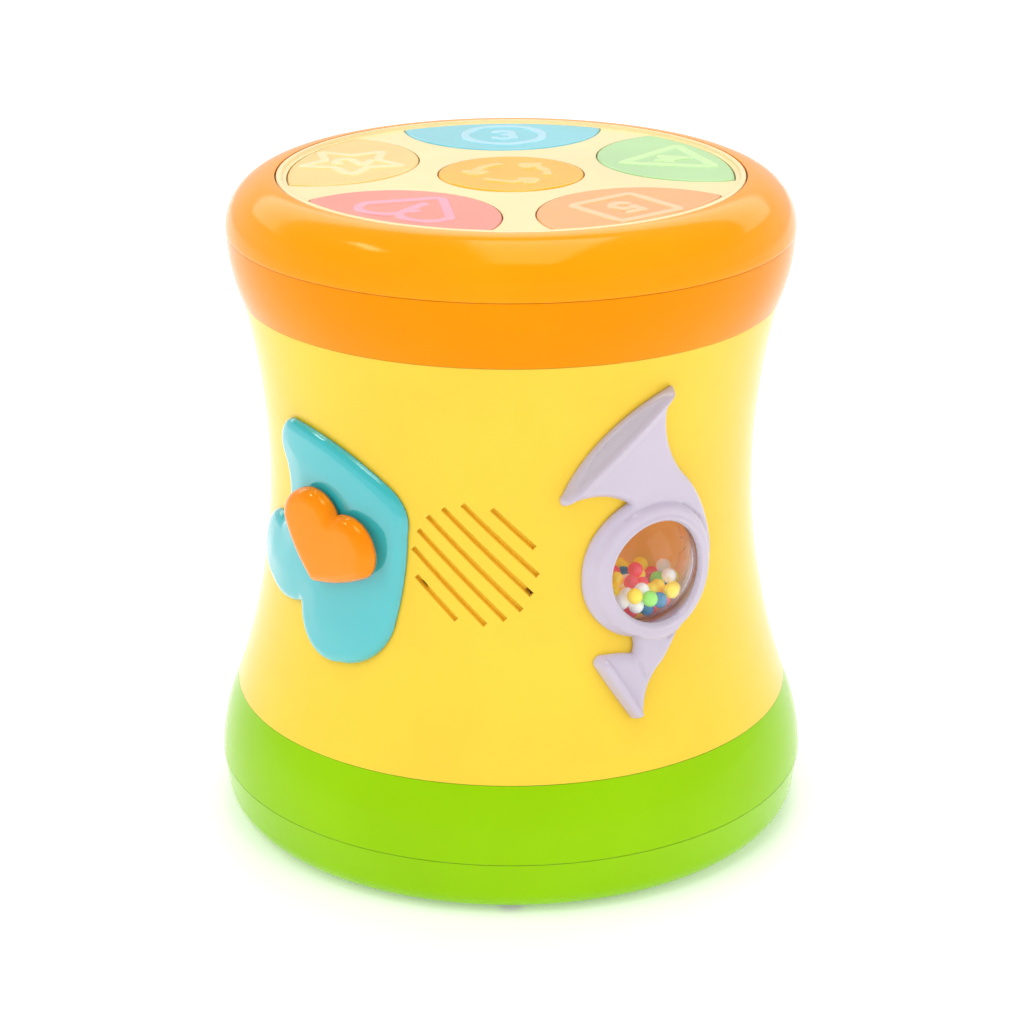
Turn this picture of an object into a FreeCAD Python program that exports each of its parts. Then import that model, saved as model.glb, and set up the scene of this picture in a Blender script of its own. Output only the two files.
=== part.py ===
import FreeCAD, Part
import math
import os
import re
import Sketcher

# A free-standing musical toy drum, in millimetres.
# +Z is up, the drum's axis is the Z axis, its front faces -Y and it stands on Z = 0.

document = FreeCAD.newDocument("toy_drum")
sheet = document.addObject("Spreadsheet::Sheet", "Sizes")
finished = []

driving_sizes = {
    # shell stack: height and radius of every seam, bottom to top
    "wall": 2.5, "seam_gap": 0.14, "foot_height": 0.8,
    "floor_radius": 87.1, "floor_edge_height": 8.6, "floor_edge_radius": 95.1,
    "floor_curve": 8.1, "band_step": 0.2, "plaque_gap": 0.12,
    "base_seam_height": 18.5, "base_seam_radius": 96.6,
    "ring_seam_height": 42.6, "ring_seam_radius": 90.7, "ring_curve": 62,
    "band_seam_height": 174, "band_seam_radius": 85.2, "waist_curve": 230,
    "waist_height": 117.5, "waist_radius": 78.2,
    "rim_seam_height": 195, "rim_seam_radius": 89.6, "band_curve": 55,
    "rim_inner_radius": 74, "rim_top_height": 211.8, "rim_curve": 15.8,
    # playing deck
    "deck_radius": 73.6, "lip_width": 2, "lip_top_height": 211.9,
    "deck_top_height": 210.9, "deck_bottom_height": 208.4, "skirt_bottom_height": 198,
    "pad_top_height": 211.2, "pad_gap": 0.35, "pad_edge_radius": 70.3,
    "petal_radius": 33.2, "petal_distance": 64.6, "first_pad_angle": -123.3,
    "mode_pad_radius": 22.8, "flange_spread": 1.2, "flange_top_height": 208.2,
    "flange_bottom_height": 206.4, "stem_radius": 5, "stem_bottom_height": 203.5,
    "stem_distance": 50, "dome_radius": 7, "dome_top_radius": 4.5,
    "board_thickness": 1.6, "pad_board_top": 201, "pad_board_radius": 69,
    "deck_boss_distance": 34.5, "deck_boss_radius": 3.5,
    "frame_inner_radius": 66, "frame_outer_radius": 86.4, "frame_thickness": 2.4,
    # heart spinner, on the wall left of the front
    "heart_azimuth": -40.6, "heart_height": 112.8, "heart_tilt": 21.5,
    "heart_back": 84.4, "heart_thickness": 5.2, "shaft_radius": 4, "bush_radius": 6,
    "bush_clearance": 0.05, "bush_front": 84, "bush_shoulder": 74.8, "bush_back": 73,
    "bush_flange_radius": 8.5, "washer_radius": 7, "washer_thickness": 1,
    # rattle ball, on the wall right of the front
    "ball_azimuth": 32.8, "ball_height": 104.5, "ball_depth": 67.5, "ball_radius": 20.5,
    "ball_wall": 1.2, "shell_window_radius": 20.4, "window_start": 72, "window_end": 88,
    "window_inner_radius": 21, "window_outer_radius": 13.6,
    "pin_radius": 2.4, "pin_reach": 25, "pin_clearance": 0.05,
    "cradle_radius": 21.5, "cradle_wall": 2, "cradle_mouth": 3.5, "bearing_radius": 3.2,
    "bead_radius": 2.25,
    # speaker, behind the slots
    "speaker_azimuth": -8.1, "speaker_height": 110, "speaker_front": 72,
    "speaker_radius": 18.5, "magnet_radius": 9, "slot_width": 1.7, "slot_pitch": 5.5,
    "clamp_radius": 21.5, "speaker_screw_distance": 20.1,
    "cloth_radius": 21.9, "cloth_gap": 0.05, "cloth_thickness": 0.4,
    # raised plaques on the wall
    "plaque_thickness": 4.6, "note_azimuth": -46, "horn_azimuth": 32,
    # power and sound in the base
    "box_length": 64, "box_width": 58, "box_height": 17.5, "box_wall": 2,
    "cell_radius": 7.1, "cell_length": 50, "cell_pitch": 16, "cell_height": 11.2,
    "main_board_length": 74, "main_board_width": 52, "main_board_bottom": 24,
    "switch_y": -44, "switch_travel": 8, "knob_length": 6, "knob_width": 5,
    # fasteners
    "screw_radius": 1.5, "screw_hole": 1.7, "pilot_radius": 1.55, "head_radius": 3,
    "head_height": 2.2, "well_radius": 3.4, "boss_radius": 4.5,
    "base_screw_distance": 88, "shell_screw_x": 64, "foot_distance": 70, "foot_radius": 8,
}
for row, (alias, number) in enumerate(driving_sizes.items(), start=1):
    sheet.set("A%d" % row, alias)
    sheet.set("B%d" % row, str(number))
    sheet.setAlias("B%d" % row, alias)
document.recompute()


def linked(formula):
    """The formula with the name of every driving size pointing at its cell."""
    def cell(word):
        return "Sizes." + word[0] if word[0] in driving_sizes else word[0]
    return re.sub(r"[a-z][a-z_]*", cell, str(formula))


def value(formula):
    """The formula's number, in millimetres or degrees."""
    number = sheet.evalExpression(linked(formula))
    return float(getattr(number, "Value", number))


def bind(thing, **formulas):
    """Bind properties to formulas; two underscores in a name stand for a dot."""
    for name, formula in formulas.items():
        thing.setExpression(name.replace("__", "."), linked(formula))


def finish(thing, name):
    """Name a finished sub-part; the label names its file."""
    thing.Label = name
    finished.append(thing)
    return thing


# ---- sketched bodies ----------------------------------------------------------------


def sketch_on(body, name, role):
    sketch = body.newObject("Sketcher::SketchObject", name)
    plane = [feature for feature in body.Origin.OriginFeatures if feature.Role == role][0]
    sketch.AttachmentSupport = [(plane, "")]
    sketch.MapMode = "FlatFace"
    return sketch


def arc_between(start, end, radius):
    """The arc from start to end; a positive radius has its centre left of the way."""
    chord = end - start
    side = FreeCAD.Vector(-chord.y, chord.x, 0).normalize()
    rise = math.sqrt(radius ** 2 - (chord.Length / 2) ** 2)
    centre = (start + end) / 2 + side * math.copysign(rise, radius)
    first, last = (start, end) if radius > 0 else (end, start)
    angles = [math.atan2(point.y - centre.y, point.x - centre.x) for point in (first, last)]
    circle = Part.Circle(centre, FreeCAD.Vector(0, 0, 1), abs(radius))
    return Part.ArcOfCircle(circle, angles[0], angles[1])


def draw_outline(sketch, corners):
    """Draw a closed outline whose corners are (x, y) or (x, y, radius of the arc that follows)."""
    points = [FreeCAD.Vector(value(corner[0]), value(corner[1]), 0) for corner in corners]
    ends = points[1:] + points[:1]
    start_of = []
    end_of = []
    for corner, start, end in zip(corners, points, ends):
        bend = value(corner[2]) if len(corner) == 3 else 0
        edge = arc_between(start, end, bend) if bend else Part.LineSegment(start, end)
        index = sketch.addGeometry(edge, False)
        start_of.append((index, 2 if bend < 0 else 1))
        end_of.append((index, 1 if bend < 0 else 2))
    for number, corner in enumerate(corners):
        following = start_of[(number + 1) % len(corners)]
        sketch.addConstraint(Sketcher.Constraint("Coincident", *end_of[number], *following))
        for kind, formula in (("DistanceX", corner[0]), ("DistanceY", corner[1])):
            rule = Sketcher.Constraint(kind, *start_of[number], value(formula))
            index = sketch.addConstraint(rule)
            sketch.setExpression("Constraints[%d]" % index, linked(formula))
        if len(corner) == 3:
            rule = Sketcher.Constraint("Radius", start_of[number][0], abs(value(corner[2])))
            index = sketch.addConstraint(rule)
            sketch.setExpression("Constraints[%d]" % index, linked("abs(%s)" % corner[2]))


def turned(name, corners, angle="360 deg"):
    """A body turned about Z; corners give radius and height."""
    body = document.addObject("PartDesign::Body", name)
    sketch = sketch_on(body, name + "_profile", "XZ_Plane")
    draw_outline(sketch, corners)
    revolution = body.newObject("PartDesign::Revolution", name + "_turn")
    revolution.Profile = sketch
    revolution.ReferenceAxis = (sketch, ["V_Axis"])
    bind(revolution, Angle=angle)
    body.Tip = revolution
    return body


def ring(name, inner, outer, bottom, top):
    return turned(name, [(inner, bottom), (outer, bottom), (outer, top), (inner, top)])


def block(name, length, width, height, x, y, bottom):
    """A padded rectangle centred on x and y."""
    body = document.addObject("PartDesign::Body", name)
    sketch = sketch_on(body, name + "_outline", "XY_Plane")
    left, right = "(%s) - (%s) / 2" % (x, length), "(%s) + (%s) / 2" % (x, length)
    front, back = "(%s) - (%s) / 2" % (y, width), "(%s) + (%s) / 2" % (y, width)
    draw_outline(sketch, [(left, front), (right, front), (right, back), (left, back)])
    bind(sketch, AttachmentOffset__Base__z=bottom)
    pad = body.newObject("PartDesign::Pad", name + "_pad")
    pad.Profile = sketch
    bind(pad, Length=height)
    body.Tip = pad
    return body


# ---- primitives and booleans --------------------------------------------------------


def rod(name, radius, height, x=0, y=0, z=0):
    """An upright cylinder standing on x, y, z."""
    cylinder = document.addObject("Part::Cylinder", name)
    bind(cylinder, Radius=radius, Height=height)
    bind(cylinder, Placement__Base__x=x, Placement__Base__y=y, Placement__Base__z=z)
    return cylinder


def polar_rods(name, count, start, distance, radius, height, z):
    """Upright cylinders at equal angles round the drum's axis."""
    rods = []
    for number in range(count):
        angle = "(%s + %g) * 1 deg" % (start, number * 360 / count)
        x, y = "(%s) * cos(%s)" % (distance, angle), "(%s) * sin(%s)" % (distance, angle)
        rods.append(rod("%s_%d" % (name, number + 1), radius, height, x, y, z))
    return rods


def combine(kind, name, parts):
    result = document.addObject("Part::" + kind, name)
    if kind == "Compound":
        result.Links = parts
    else:
        result.Shapes = parts
    return result


def cut(name, base, tools):
    """The base with every tool taken away."""
    result = document.addObject("Part::Cut", name)
    result.Base = base
    result.Tool = tools[0] if len(tools) == 1 else combine("Compound", name + "_tools", tools)
    return result


def common(name, base, tool):
    result = document.addObject("Part::Common", name)
    result.Base = base
    result.Tool = tool
    return result


def on_wall(azimuth, height, x=0, y=0, depth=0, turn=None):
    """A placement on the wall: local x sideways, local y up, local z outward from the axis."""
    outward = FreeCAD.Rotation(FreeCAD.Vector(0, 0, 1), value(azimuth))
    outward = outward * FreeCAD.Rotation(FreeCAD.Vector(1, 0, 0), 90)
    wall = FreeCAD.Placement(FreeCAD.Vector(0, 0, value(height)), outward)
    offset = FreeCAD.Vector(value(x), value(y), value(depth))
    return wall * FreeCAD.Placement(offset, turn or FreeCAD.Rotation())


def wall_rod(name, azimuth, height, radius, start, end, x=0, y=0):
    """A cylinder that runs straight out through the wall, from one depth to another."""
    cylinder = document.addObject("Part::Cylinder", name)
    bind(cylinder, Radius=radius, Height="(%s) - (%s)" % (end, start))
    cylinder.Placement = on_wall(azimuth, height, x, y, start)
    return cylinder


def sideways_rod(name, radius, reach):
    """A cylinder along the rattle ball's axle, reaching equally far each way."""
    cylinder = document.addObject("Part::Cylinder", name)
    bind(cylinder, Radius=radius, Height="2 * (%s)" % reach)
    across = FreeCAD.Rotation(FreeCAD.Vector(0, 1, 0), 90)
    start = "-(%s)" % reach
    cylinder.Placement = on_wall("ball_azimuth", "ball_height", start, 0, "ball_depth", across)
    return cylinder


def screw(name, head_bottom, length):
    """A pan-head screw pointing along +Z, its head below head_bottom + head_height."""
    shoulder = "(%s) + head_height" % head_bottom
    tip = "(%s) + (%s)" % (shoulder, length)
    return turned(name, [(0, head_bottom), ("head_radius", head_bottom),
                         ("head_radius", shoulder), ("screw_radius", shoulder),
                         ("screw_radius", tip), (0, tip)])


# ---- outer shells -------------------------------------------------------------------

half_gap = "seam_gap / 2"


def bottom_cover():
    top = "base_seam_height - " + half_gap
    tub = turned("cover_tub", [
        (0, "foot_height"), ("floor_radius", "foot_height", "floor_curve"),
        ("floor_edge_radius", "floor_edge_height"), ("base_seam_radius", top),
        ("base_seam_radius - wall", top),
        ("floor_edge_radius - wall", "floor_edge_height", "-(floor_curve - wall)"),
        ("floor_radius", "foot_height + wall"), (0, "foot_height + wall")])
    tubes = polar_rods("cover_tube", 4, 0, "base_screw_distance", "boss_radius", 7.2, 2.7)
    solid = combine("MultiFuse", "cover_solid", [tub] + tubes)
    holes = polar_rods("cover_hole", 4, 0, "base_screw_distance", "screw_hole", 12, 0)
    sinks = polar_rods("cover_sink", 4, 0, "base_screw_distance", "well_radius", 6.5, 0)
    door_opening = block("door_opening", "box_length - 2 * box_wall", "box_width - 2 * box_wall",
                         8, 0, 0, -2)
    slot = block("switch_slot", "knob_length + switch_travel + 0.8", "knob_width + 0.8", 8,
                 0, "switch_y", -2)
    finish(cut("bottom_cover", solid, holes + sinks + [door_opening, slot]), "bottom_cover")


def base_ring():
    low, high = "base_seam_height + " + half_gap, "ring_seam_height - " + half_gap
    wall_ring = turned("ring_wall", [
        ("base_seam_radius - wall", low), ("base_seam_radius", low, "ring_curve"),
        ("ring_seam_radius", high), ("ring_seam_radius - wall", high, "-(ring_curve - wall)")])
    bosses = polar_rods("ring_boss", 4, 0, "base_screw_distance", "boss_radius", 26, 10)
    solid = combine("MultiFuse", "ring_solid", [wall_ring] + bosses)
    pilots = polar_rods("ring_pilot", 4, 0, "base_screw_distance", "pilot_radius", 12, 8)
    finish(cut("base_ring", solid, pilots), "base_ring")


def waist_corners(inner):
    """The waist wall's profile, from an inner line out to its hollow outer curve."""
    low, high = "ring_seam_height + " + half_gap, "band_seam_height - " + half_gap
    outer = [("ring_seam_radius", low, "-waist_curve"), ("band_seam_radius", high)]
    if inner == "solid":
        return [(0, low)] + outer + [(0, high)]
    return outer + [("band_seam_radius - wall", high, "waist_curve + wall"),
                    ("ring_seam_radius - wall", low)]


def shell_half(name, turn):
    """Half of the waist wall, open along its two sides."""
    half = turned(name, waist_corners("shell"), "179.8 deg")
    half.Placement = FreeCAD.Placement(FreeCAD.Vector(), FreeCAD.Rotation(turn, 0, 0))
    return half


def along_y(name, radius, start, end, x, z):
    cylinder = document.addObject("Part::Cylinder", name)
    bind(cylinder, Radius=radius, Height="(%s) - (%s)" % (end, start))
    turn = FreeCAD.Rotation(FreeCAD.Vector(1, 0, 0), -90)
    cylinder.Placement = FreeCAD.Placement(FreeCAD.Vector(value(x), value(start), z), turn)
    return cylinder


screw_places = [(side, height) for side in ("-shell_screw_x", "shell_screw_x")
                for height in (62, 156)]


def speaker_slots():
    """Seven slanted slots that fill a circle in front of the speaker."""
    slots = []
    for number, half_length in enumerate((8.9, 15.9, 18.9, 20.2, 18.9, 15.9, 8.9)):
        slot = document.addObject("Part::Box", "slot_%d" % (number + 1))
        bind(slot, Length=2 * half_length, Width="slot_width", Height=20)
        turn = FreeCAD.Rotation(FreeCAD.Vector(0, 0, 1), -45)
        middle = on_wall("speaker_azimuth", "speaker_height", 0, 0, 66, turn)
        below = (number - 3) * value("slot_pitch") - value("slot_width") / 2
        shift = FreeCAD.Vector(-half_length, below, 0)
        slot.Placement = middle * FreeCAD.Placement(shift, FreeCAD.Rotation())
        slots.append(slot)
    return slots


def speaker_screw_spots():
    """Sideways and upward offsets of the speaker's three screws from its centre."""
    distance = value("speaker_screw_distance")
    angles = [math.radians(angle) for angle in (90, 210, 330)]
    return [(distance * math.cos(angle), distance * math.sin(angle)) for angle in angles]


def front_shell(core):
    half = shell_half("front_half", 180)
    bosses = [along_y("front_boss_%d" % number, "boss_radius", -70, -0.2, x, z)
              for number, (x, z) in enumerate(screw_places)]
    bosses += [wall_rod("speaker_boss_%d" % number, "speaker_azimuth", "speaker_height", 2.6,
                        "speaker_front - 1.2", 77, x, y)
               for number, (x, y) in enumerate(speaker_screw_spots())]
    solid = common("front_solid", combine("MultiFuse", "front_bossed", [half] + bosses), core)
    pilots = [along_y("front_pilot_%d" % number, "pilot_radius", -16, 0, x, z)
              for number, (x, z) in enumerate(screw_places)]
    pilots += [wall_rod("speaker_pilot_%d" % number, "speaker_azimuth", "speaker_height", 1.1,
                        70, 74.5, x, y)
               for number, (x, y) in enumerate(speaker_screw_spots())]
    window = wall_rod("shell_window", "ball_azimuth", "ball_height", "shell_window_radius", 60, 90)
    bush_hole = wall_rod("shell_bush_hole", "heart_azimuth", "heart_height", "bush_radius", 60, 90)
    speaker_seat = wall_rod("speaker_seat", "speaker_azimuth", "speaker_height",
                            "speaker_radius + 0.1", 60, "speaker_front + 0.1")
    openings = speaker_slots() + pilots + [window, bush_hole, speaker_seat]
    finish(cut("front_shell", solid, openings), "front_shell")


def rear_shell(core):
    half = shell_half("rear_half", 0)
    wells = [along_y("rear_well_%d" % number, "well_radius + 1.6", 0.2, 70, x, z)
             for number, (x, z) in enumerate(screw_places)]
    solid = common("rear_solid", combine("MultiFuse", "rear_welled", [half] + wells), core)
    holes = [along_y("rear_hole_%d" % number, "screw_hole", -1, 20, x, z)
             for number, (x, z) in enumerate(screw_places)]
    holes += [along_y("rear_sink_%d" % number, "well_radius", 6, 70, x, z)
              for number, (x, z) in enumerate(screw_places)]
    finish(cut("rear_shell", solid, holes), "rear_shell")


def drum_band():
    low, high = "band_seam_height + " + half_gap, "rim_seam_height - " + half_gap
    finish(turned("drum_band", [
        ("band_seam_radius - wall", low), ("band_seam_radius + band_step", low, "band_curve"),
        ("rim_seam_radius", high), ("rim_seam_radius - wall", high, "-(band_curve - wall)")]),
        "drum_band")


def top_rim():
    low, crest = "rim_seam_height + " + half_gap, "rim_top_height"
    side, turn_height = "rim_inner_radius + rim_curve", "rim_top_height - rim_curve"
    finish(turned("top_rim", [
        (side + " - wall - 0.1", low), (side + " - 0.1", low), (side, turn_height, "rim_curve"),
        ("rim_inner_radius", crest), ("rim_inner_radius", crest + " - wall", "-(rim_curve - wall)"),
        (side + " - wall", turn_height)]), "top_rim")


# ---- playing deck -------------------------------------------------------------------


def pad_angle(number):
    return "first_pad_angle - %d" % (72 * (number - 1))


def petal(name, number, spread, bottom, top):
    """A petal: a circle cut off by the deck's edge, grown by spread all round."""
    angle = "(%s) * 1 deg" % pad_angle(number)
    height = "(%s) - (%s)" % (top, bottom)
    leaf = rod(name + "_leaf", "petal_radius + (%s)" % spread, height,
               "petal_distance * cos(%s)" % angle, "petal_distance * sin(%s)" % angle, bottom)
    edge = rod(name + "_edge", "pad_edge_radius + (%s)" % spread, height, 0, 0, bottom)
    leaf.Placement.Rotation = FreeCAD.Rotation(value(pad_angle(number)), 0, 0)
    edge.Placement.Rotation = FreeCAD.Rotation(value(pad_angle(number)) + 180, 0, 0)
    overlap = common(name + "_overlap", leaf, edge)
    return rounded(name, overlap, 2,
                   lambda box: box.ZLength > 0.1 and box.XLength + box.YLength < 0.1)


def rounded(name, base, radius, wanted):
    """The base with a fillet on every edge whose bounding box is wanted."""
    document.recompute()
    fillet = document.addObject("Part::Fillet", name)
    fillet.Base = base
    edges = enumerate(base.Shape.Edges, start=1)
    fillet.Edges = [(index, radius, radius) for index, edge in edges if wanted(edge.BoundBox)]
    return fillet


def top_plate():
    disc = turned("deck_disc", [
        (0, "deck_bottom_height"), ("deck_radius - lip_width", "deck_bottom_height"),
        ("deck_radius - lip_width", "skirt_bottom_height"), ("deck_radius", "skirt_bottom_height"),
        ("deck_radius", "lip_top_height - 0.6", 0.6), ("deck_radius - 0.6", "lip_top_height"),
        ("deck_radius - lip_width + 0.3", "lip_top_height"),
        ("deck_radius - lip_width", "deck_top_height"), (0, "deck_top_height")])
    start = "first_pad_angle + 36"
    bosses = polar_rods("deck_boss", 5, start, "deck_boss_distance", "deck_boss_radius",
                        "deck_bottom_height - pad_board_top + 0.5", "pad_board_top")
    solid = combine("MultiFuse", "deck_solid", [disc] + bosses)
    holes = [petal("deck_hole_%d" % number, number, 0, "deck_bottom_height - 1", "deck_top_height + 2")
             for number in range(1, 6)]
    holes.append(rod("mode_hole", "mode_pad_radius + pad_gap", 6, 0, 0, "deck_bottom_height - 1"))
    holes += polar_rods("deck_pilot", 5, start, "deck_boss_distance", "pilot_radius", 7,
                        "pad_board_top - 0.5")
    finish(cut("top_plate", solid, holes), "top_plate")


def number_pad(number):
    name = "number_pad_%d" % number
    face = petal(name + "_face", number, "-pad_gap", "flange_top_height - 0.2", "pad_top_height")
    crown = value("pad_top_height")
    face = rounded(name + "_crown", face, 0.7, lambda box: box.ZMin > crown - 0.01)
    flange = petal(name + "_flange", number, "flange_spread - 0.2", "flange_bottom_height",
                   "flange_top_height")
    angle = "(%s) * 1 deg" % pad_angle(number)
    stem = rod(name + "_stem", "stem_radius", "flange_bottom_height - stem_bottom_height + 0.2",
               "stem_distance * cos(%s)" % angle, "stem_distance * sin(%s)" % angle,
               "stem_bottom_height")
    finish(combine("MultiFuse", name, [face, flange, stem]), name)


def mode_pad():
    edge = "mode_pad_radius"
    finish(turned("mode_pad", [
        (0, "stem_bottom_height"), ("stem_radius", "stem_bottom_height"),
        ("stem_radius", "flange_bottom_height"),
        ("mode_pad_radius + flange_spread", "flange_bottom_height"),
        ("mode_pad_radius + flange_spread", "flange_top_height"), (edge, "flange_top_height"),
        (edge, "pad_top_height - 0.7", 0.7), (edge + " - 0.7", "pad_top_height"),
        (0, "pad_top_height")]), "mode_pad")


def key_dome(name, x, y):
    """A hollow silicone dome that pushes one pad back up."""
    base, crown = "pad_board_top", "stem_bottom_height"
    dome = turned(name, [
        ("dome_radius - 1", base), ("dome_radius", base), ("dome_top_radius", crown), (0, crown),
        (0, crown + " - 0.8"), ("dome_top_radius - 0.8", crown + " - 0.8")])
    bind(dome, Placement__Base__x=x, Placement__Base__y=y)
    finish(dome, name)


def key_domes():
    for number in range(1, 6):
        angle = "(%s) * 1 deg" % pad_angle(number)
        key_dome("key_dome_%d" % number, "stem_distance * cos(%s)" % angle,
                 "stem_distance * sin(%s)" % angle)
    key_dome("mode_dome", 0, 0)


def pad_board():
    bottom = "pad_board_top - board_thickness"
    disc = rod("pad_board_disc", "pad_board_radius", "board_thickness", 0, 0, bottom)
    holes = polar_rods("pad_board_hole", 5, "first_pad_angle + 36", "deck_boss_distance",
                       "screw_hole", 4, bottom + " - 1")
    finish(cut("pad_board", disc, holes), "pad_board")


def pad_leds():
    """A light beside the stem of every number pad and two beside the mode pad's."""
    lights = polar_rods("led", 5, "first_pad_angle", "stem_distance + 10", 1.7, 1.6, "pad_board_top")
    lights += polar_rods("mode_led", 2, 90, 11, 1.7, 1.6, "pad_board_top")
    finish(combine("Compound", "pad_leds", lights), "pad_leds")


def screw_group(name, spots, head_bottom, length, flip=False):
    """Identical screws in one node, at x, y spots; flip points them down."""
    screws = []
    for number, (x, y) in enumerate(spots):
        one = screw("%s_%d" % (name, number + 1), 0, length)
        turn = FreeCAD.Rotation(FreeCAD.Vector(1, 0, 0), 180 if flip else 0)
        one.Placement = FreeCAD.Placement(FreeCAD.Vector(x, y, value(head_bottom)), turn)
        screws.append(one)
    finish(combine("Compound", name, screws), name)


def circle_spots(count, start, distance):
    angles = [math.radians(value(start) + number * 360 / count) for number in range(count)]
    return [(value(distance) * math.cos(angle), value(distance) * math.sin(angle)) for angle in angles]


def deck():
    top_plate()
    for number in range(1, 6):
        number_pad(number)
    mode_pad()
    key_domes()
    pad_board()
    pad_leds()
    head = "pad_board_top - board_thickness - head_height"
    screw_group("deck_screws", circle_spots(5, "first_pad_angle + 36", "deck_boss_distance"), head, 6)
    finish(ring("deck_frame", "frame_inner_radius", "frame_outer_radius",
                "skirt_bottom_height - frame_thickness", "skirt_bottom_height"), "deck_frame")


# ---- plaques, heart spinner and rattle ball -----------------------------------------


def rounded_outline(points, place):
    """A face bounded by three-point arcs; every second point is the middle of an arc."""
    vectors = [FreeCAD.Vector(x, y, 0) for x, y in points]
    edges = []
    for index in range(0, len(vectors), 2):
        end = vectors[(index + 2) % len(vectors)]
        edges.append(Part.Arc(vectors[index], vectors[index + 1], end).toShape())
    face = Part.Face(Part.Wire(edges))
    face.Placement = place
    return face


def wall_skin():
    """The layer that lies on the waist wall, as thick as a plaque."""
    skin = turned("wall_skin", [
        ("ring_seam_radius + plaque_gap", "ring_seam_height", "-waist_curve"),
        ("band_seam_radius + plaque_gap", "band_seam_height"),
        ("band_seam_radius + plaque_thickness", "band_seam_height", "waist_curve - plaque_thickness"),
        ("ring_seam_radius + plaque_thickness", "ring_seam_height")])
    document.recompute()
    return skin


def plaque(name, azimuth, points, skin, hole):
    """A raised shape that follows the wall, with one round hole through it."""
    face = rounded_outline(points, on_wall(azimuth, 0, 0, 0, 55))
    outward = on_wall(azimuth, 0).Rotation.multVec(FreeCAD.Vector(0, 0, 50))
    document.recompute()
    part = document.addObject("Part::Feature", name)
    part.Shape = face.extrude(outward).common(skin.Shape).cut(hole.Shape)
    finish(part, name)


# each outline runs clockwise: corner, middle of arc, corner, ... (sideways, height)
note_points = [
    (-10.8, 145.7), (10.8, 140.8), (25.5, 131.8), (30.2, 124.8), (30.5, 117.3), (29.6, 102.2),
    (27.7, 88.4), (23.4, 78.8), (9.6, 73.2), (-3.6, 79.2), (-7.9, 87.7), (-11.7, 86.6),
    (-15.2, 86.8), (-35.1, 99.3), (-21.1, 111.9), (-17.2, 121.6), (-18.9, 131.6), (-19.4, 141.6)]
horn_points = [
    (4, 163.8), (-15.4, 151.9), (-28.3, 132.4), (-28.7, 129.4), (-28.2, 128.8), (-18.4, 130.9),
    (-8, 127.3), (-19.5, 116.4), (-22.5, 104.3), (-18.6, 91.4), (-7.4, 84.5), (-7.1, 81.7),
    (-7.8, 79.4), (-11.7, 80.1), (-16.8, 80.3), (-20, 79.1), (-20.4, 77.3), (-15.4, 68.3),
    (-10.4, 59.9), (-8.6, 59.4), (-6, 62), (-3.2, 69.6), (2.3, 75.1), (6.3, 79.7), (9.9, 84.9),
    (21.9, 95.7), (24.9, 107.2), (21.4, 119.9), (11.8, 133.5), (4.3, 146.5), (2.6, 157.5),
    (4.3, 162.1)]
heart_half = [(0, 9.6), (8.4, 12.8), (15.8, 9.2), (18.7, 4.2), (17.6, -2), (10.2, -9.2), (1.9, -14.6)]
heart_tip = (0, -15.3)


def plaques():
    skin = wall_skin()
    bush_hole = wall_rod("plaque_bush_hole", "heart_azimuth", "heart_height", "bush_radius", 60, 95)
    window = document.addObject("Part::Cone", "plaque_window")
    bind(window, Radius1="window_inner_radius", Radius2="window_outer_radius",
         Height="window_end - window_start")
    window.Placement = on_wall("ball_azimuth", "ball_height", 0, 0, "window_start")
    plaque("note_plaque", "note_azimuth", note_points, skin, bush_hole)
    plaque("horn_plaque", "horn_azimuth", horn_points, skin, window)


def heart_knob():
    mirrored = [(-x, y) for x, y in reversed(heart_half[1:])]
    outline = heart_half + [heart_tip] + mirrored
    tilt = FreeCAD.Rotation(FreeCAD.Vector(0, 0, 1), -value("heart_tilt"))
    place = on_wall("heart_azimuth", "heart_height", 0, 0, "heart_back", tilt)
    outward = place.Rotation.multVec(FreeCAD.Vector(0, 0, value("heart_thickness")))
    slab = rounded_outline(outline, place).extrude(outward)
    shaft = wall_rod("heart_shaft", "heart_azimuth", "heart_height", "shaft_radius",
                     "bush_back - 0.2", "heart_back + 1")
    pilot = wall_rod("heart_pilot", "heart_azimuth", "heart_height", "pilot_radius", 70, 81)
    document.recompute()
    part = document.addObject("Part::Feature", "heart_knob")
    part.Shape = slab.fuse(shaft.Shape).cut(pilot.Shape)
    finish(part, "heart_knob")


def heart_spindle():
    clear = "shaft_radius + bush_clearance"
    bush = turned("spindle_bush", [
        (clear, "bush_back"), ("bush_flange_radius", "bush_back"),
        ("bush_flange_radius", "bush_shoulder"), ("bush_radius - 0.02", "bush_shoulder"),
        ("bush_radius - 0.02", "bush_front"), (clear, "bush_front")])
    washer_front = "bush_back - 0.2"
    washer = ring("spindle_washer", "screw_hole", "washer_radius",
                  washer_front + " - washer_thickness", washer_front)
    fastener = screw("spindle_screw", washer_front + " - washer_thickness - head_height", 7)
    for piece, name in ((bush, "spindle_bush"), (washer, "spindle_washer"),
                        (fastener, "spindle_screw")):
        piece.Placement = on_wall("heart_azimuth", "heart_height")
        finish(piece, name)


def ball_sphere(name, radius, lowest=-90, highest=90):
    """A sphere about the ball's centre, or its part between two latitudes about the way out."""
    sphere = document.addObject("Part::Sphere", name)
    bind(sphere, Radius=radius)
    sphere.Angle1 = lowest
    sphere.Angle2 = highest
    sphere.Placement = on_wall("ball_azimuth", "ball_height", 0, 0, "ball_depth")
    return sphere


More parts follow.
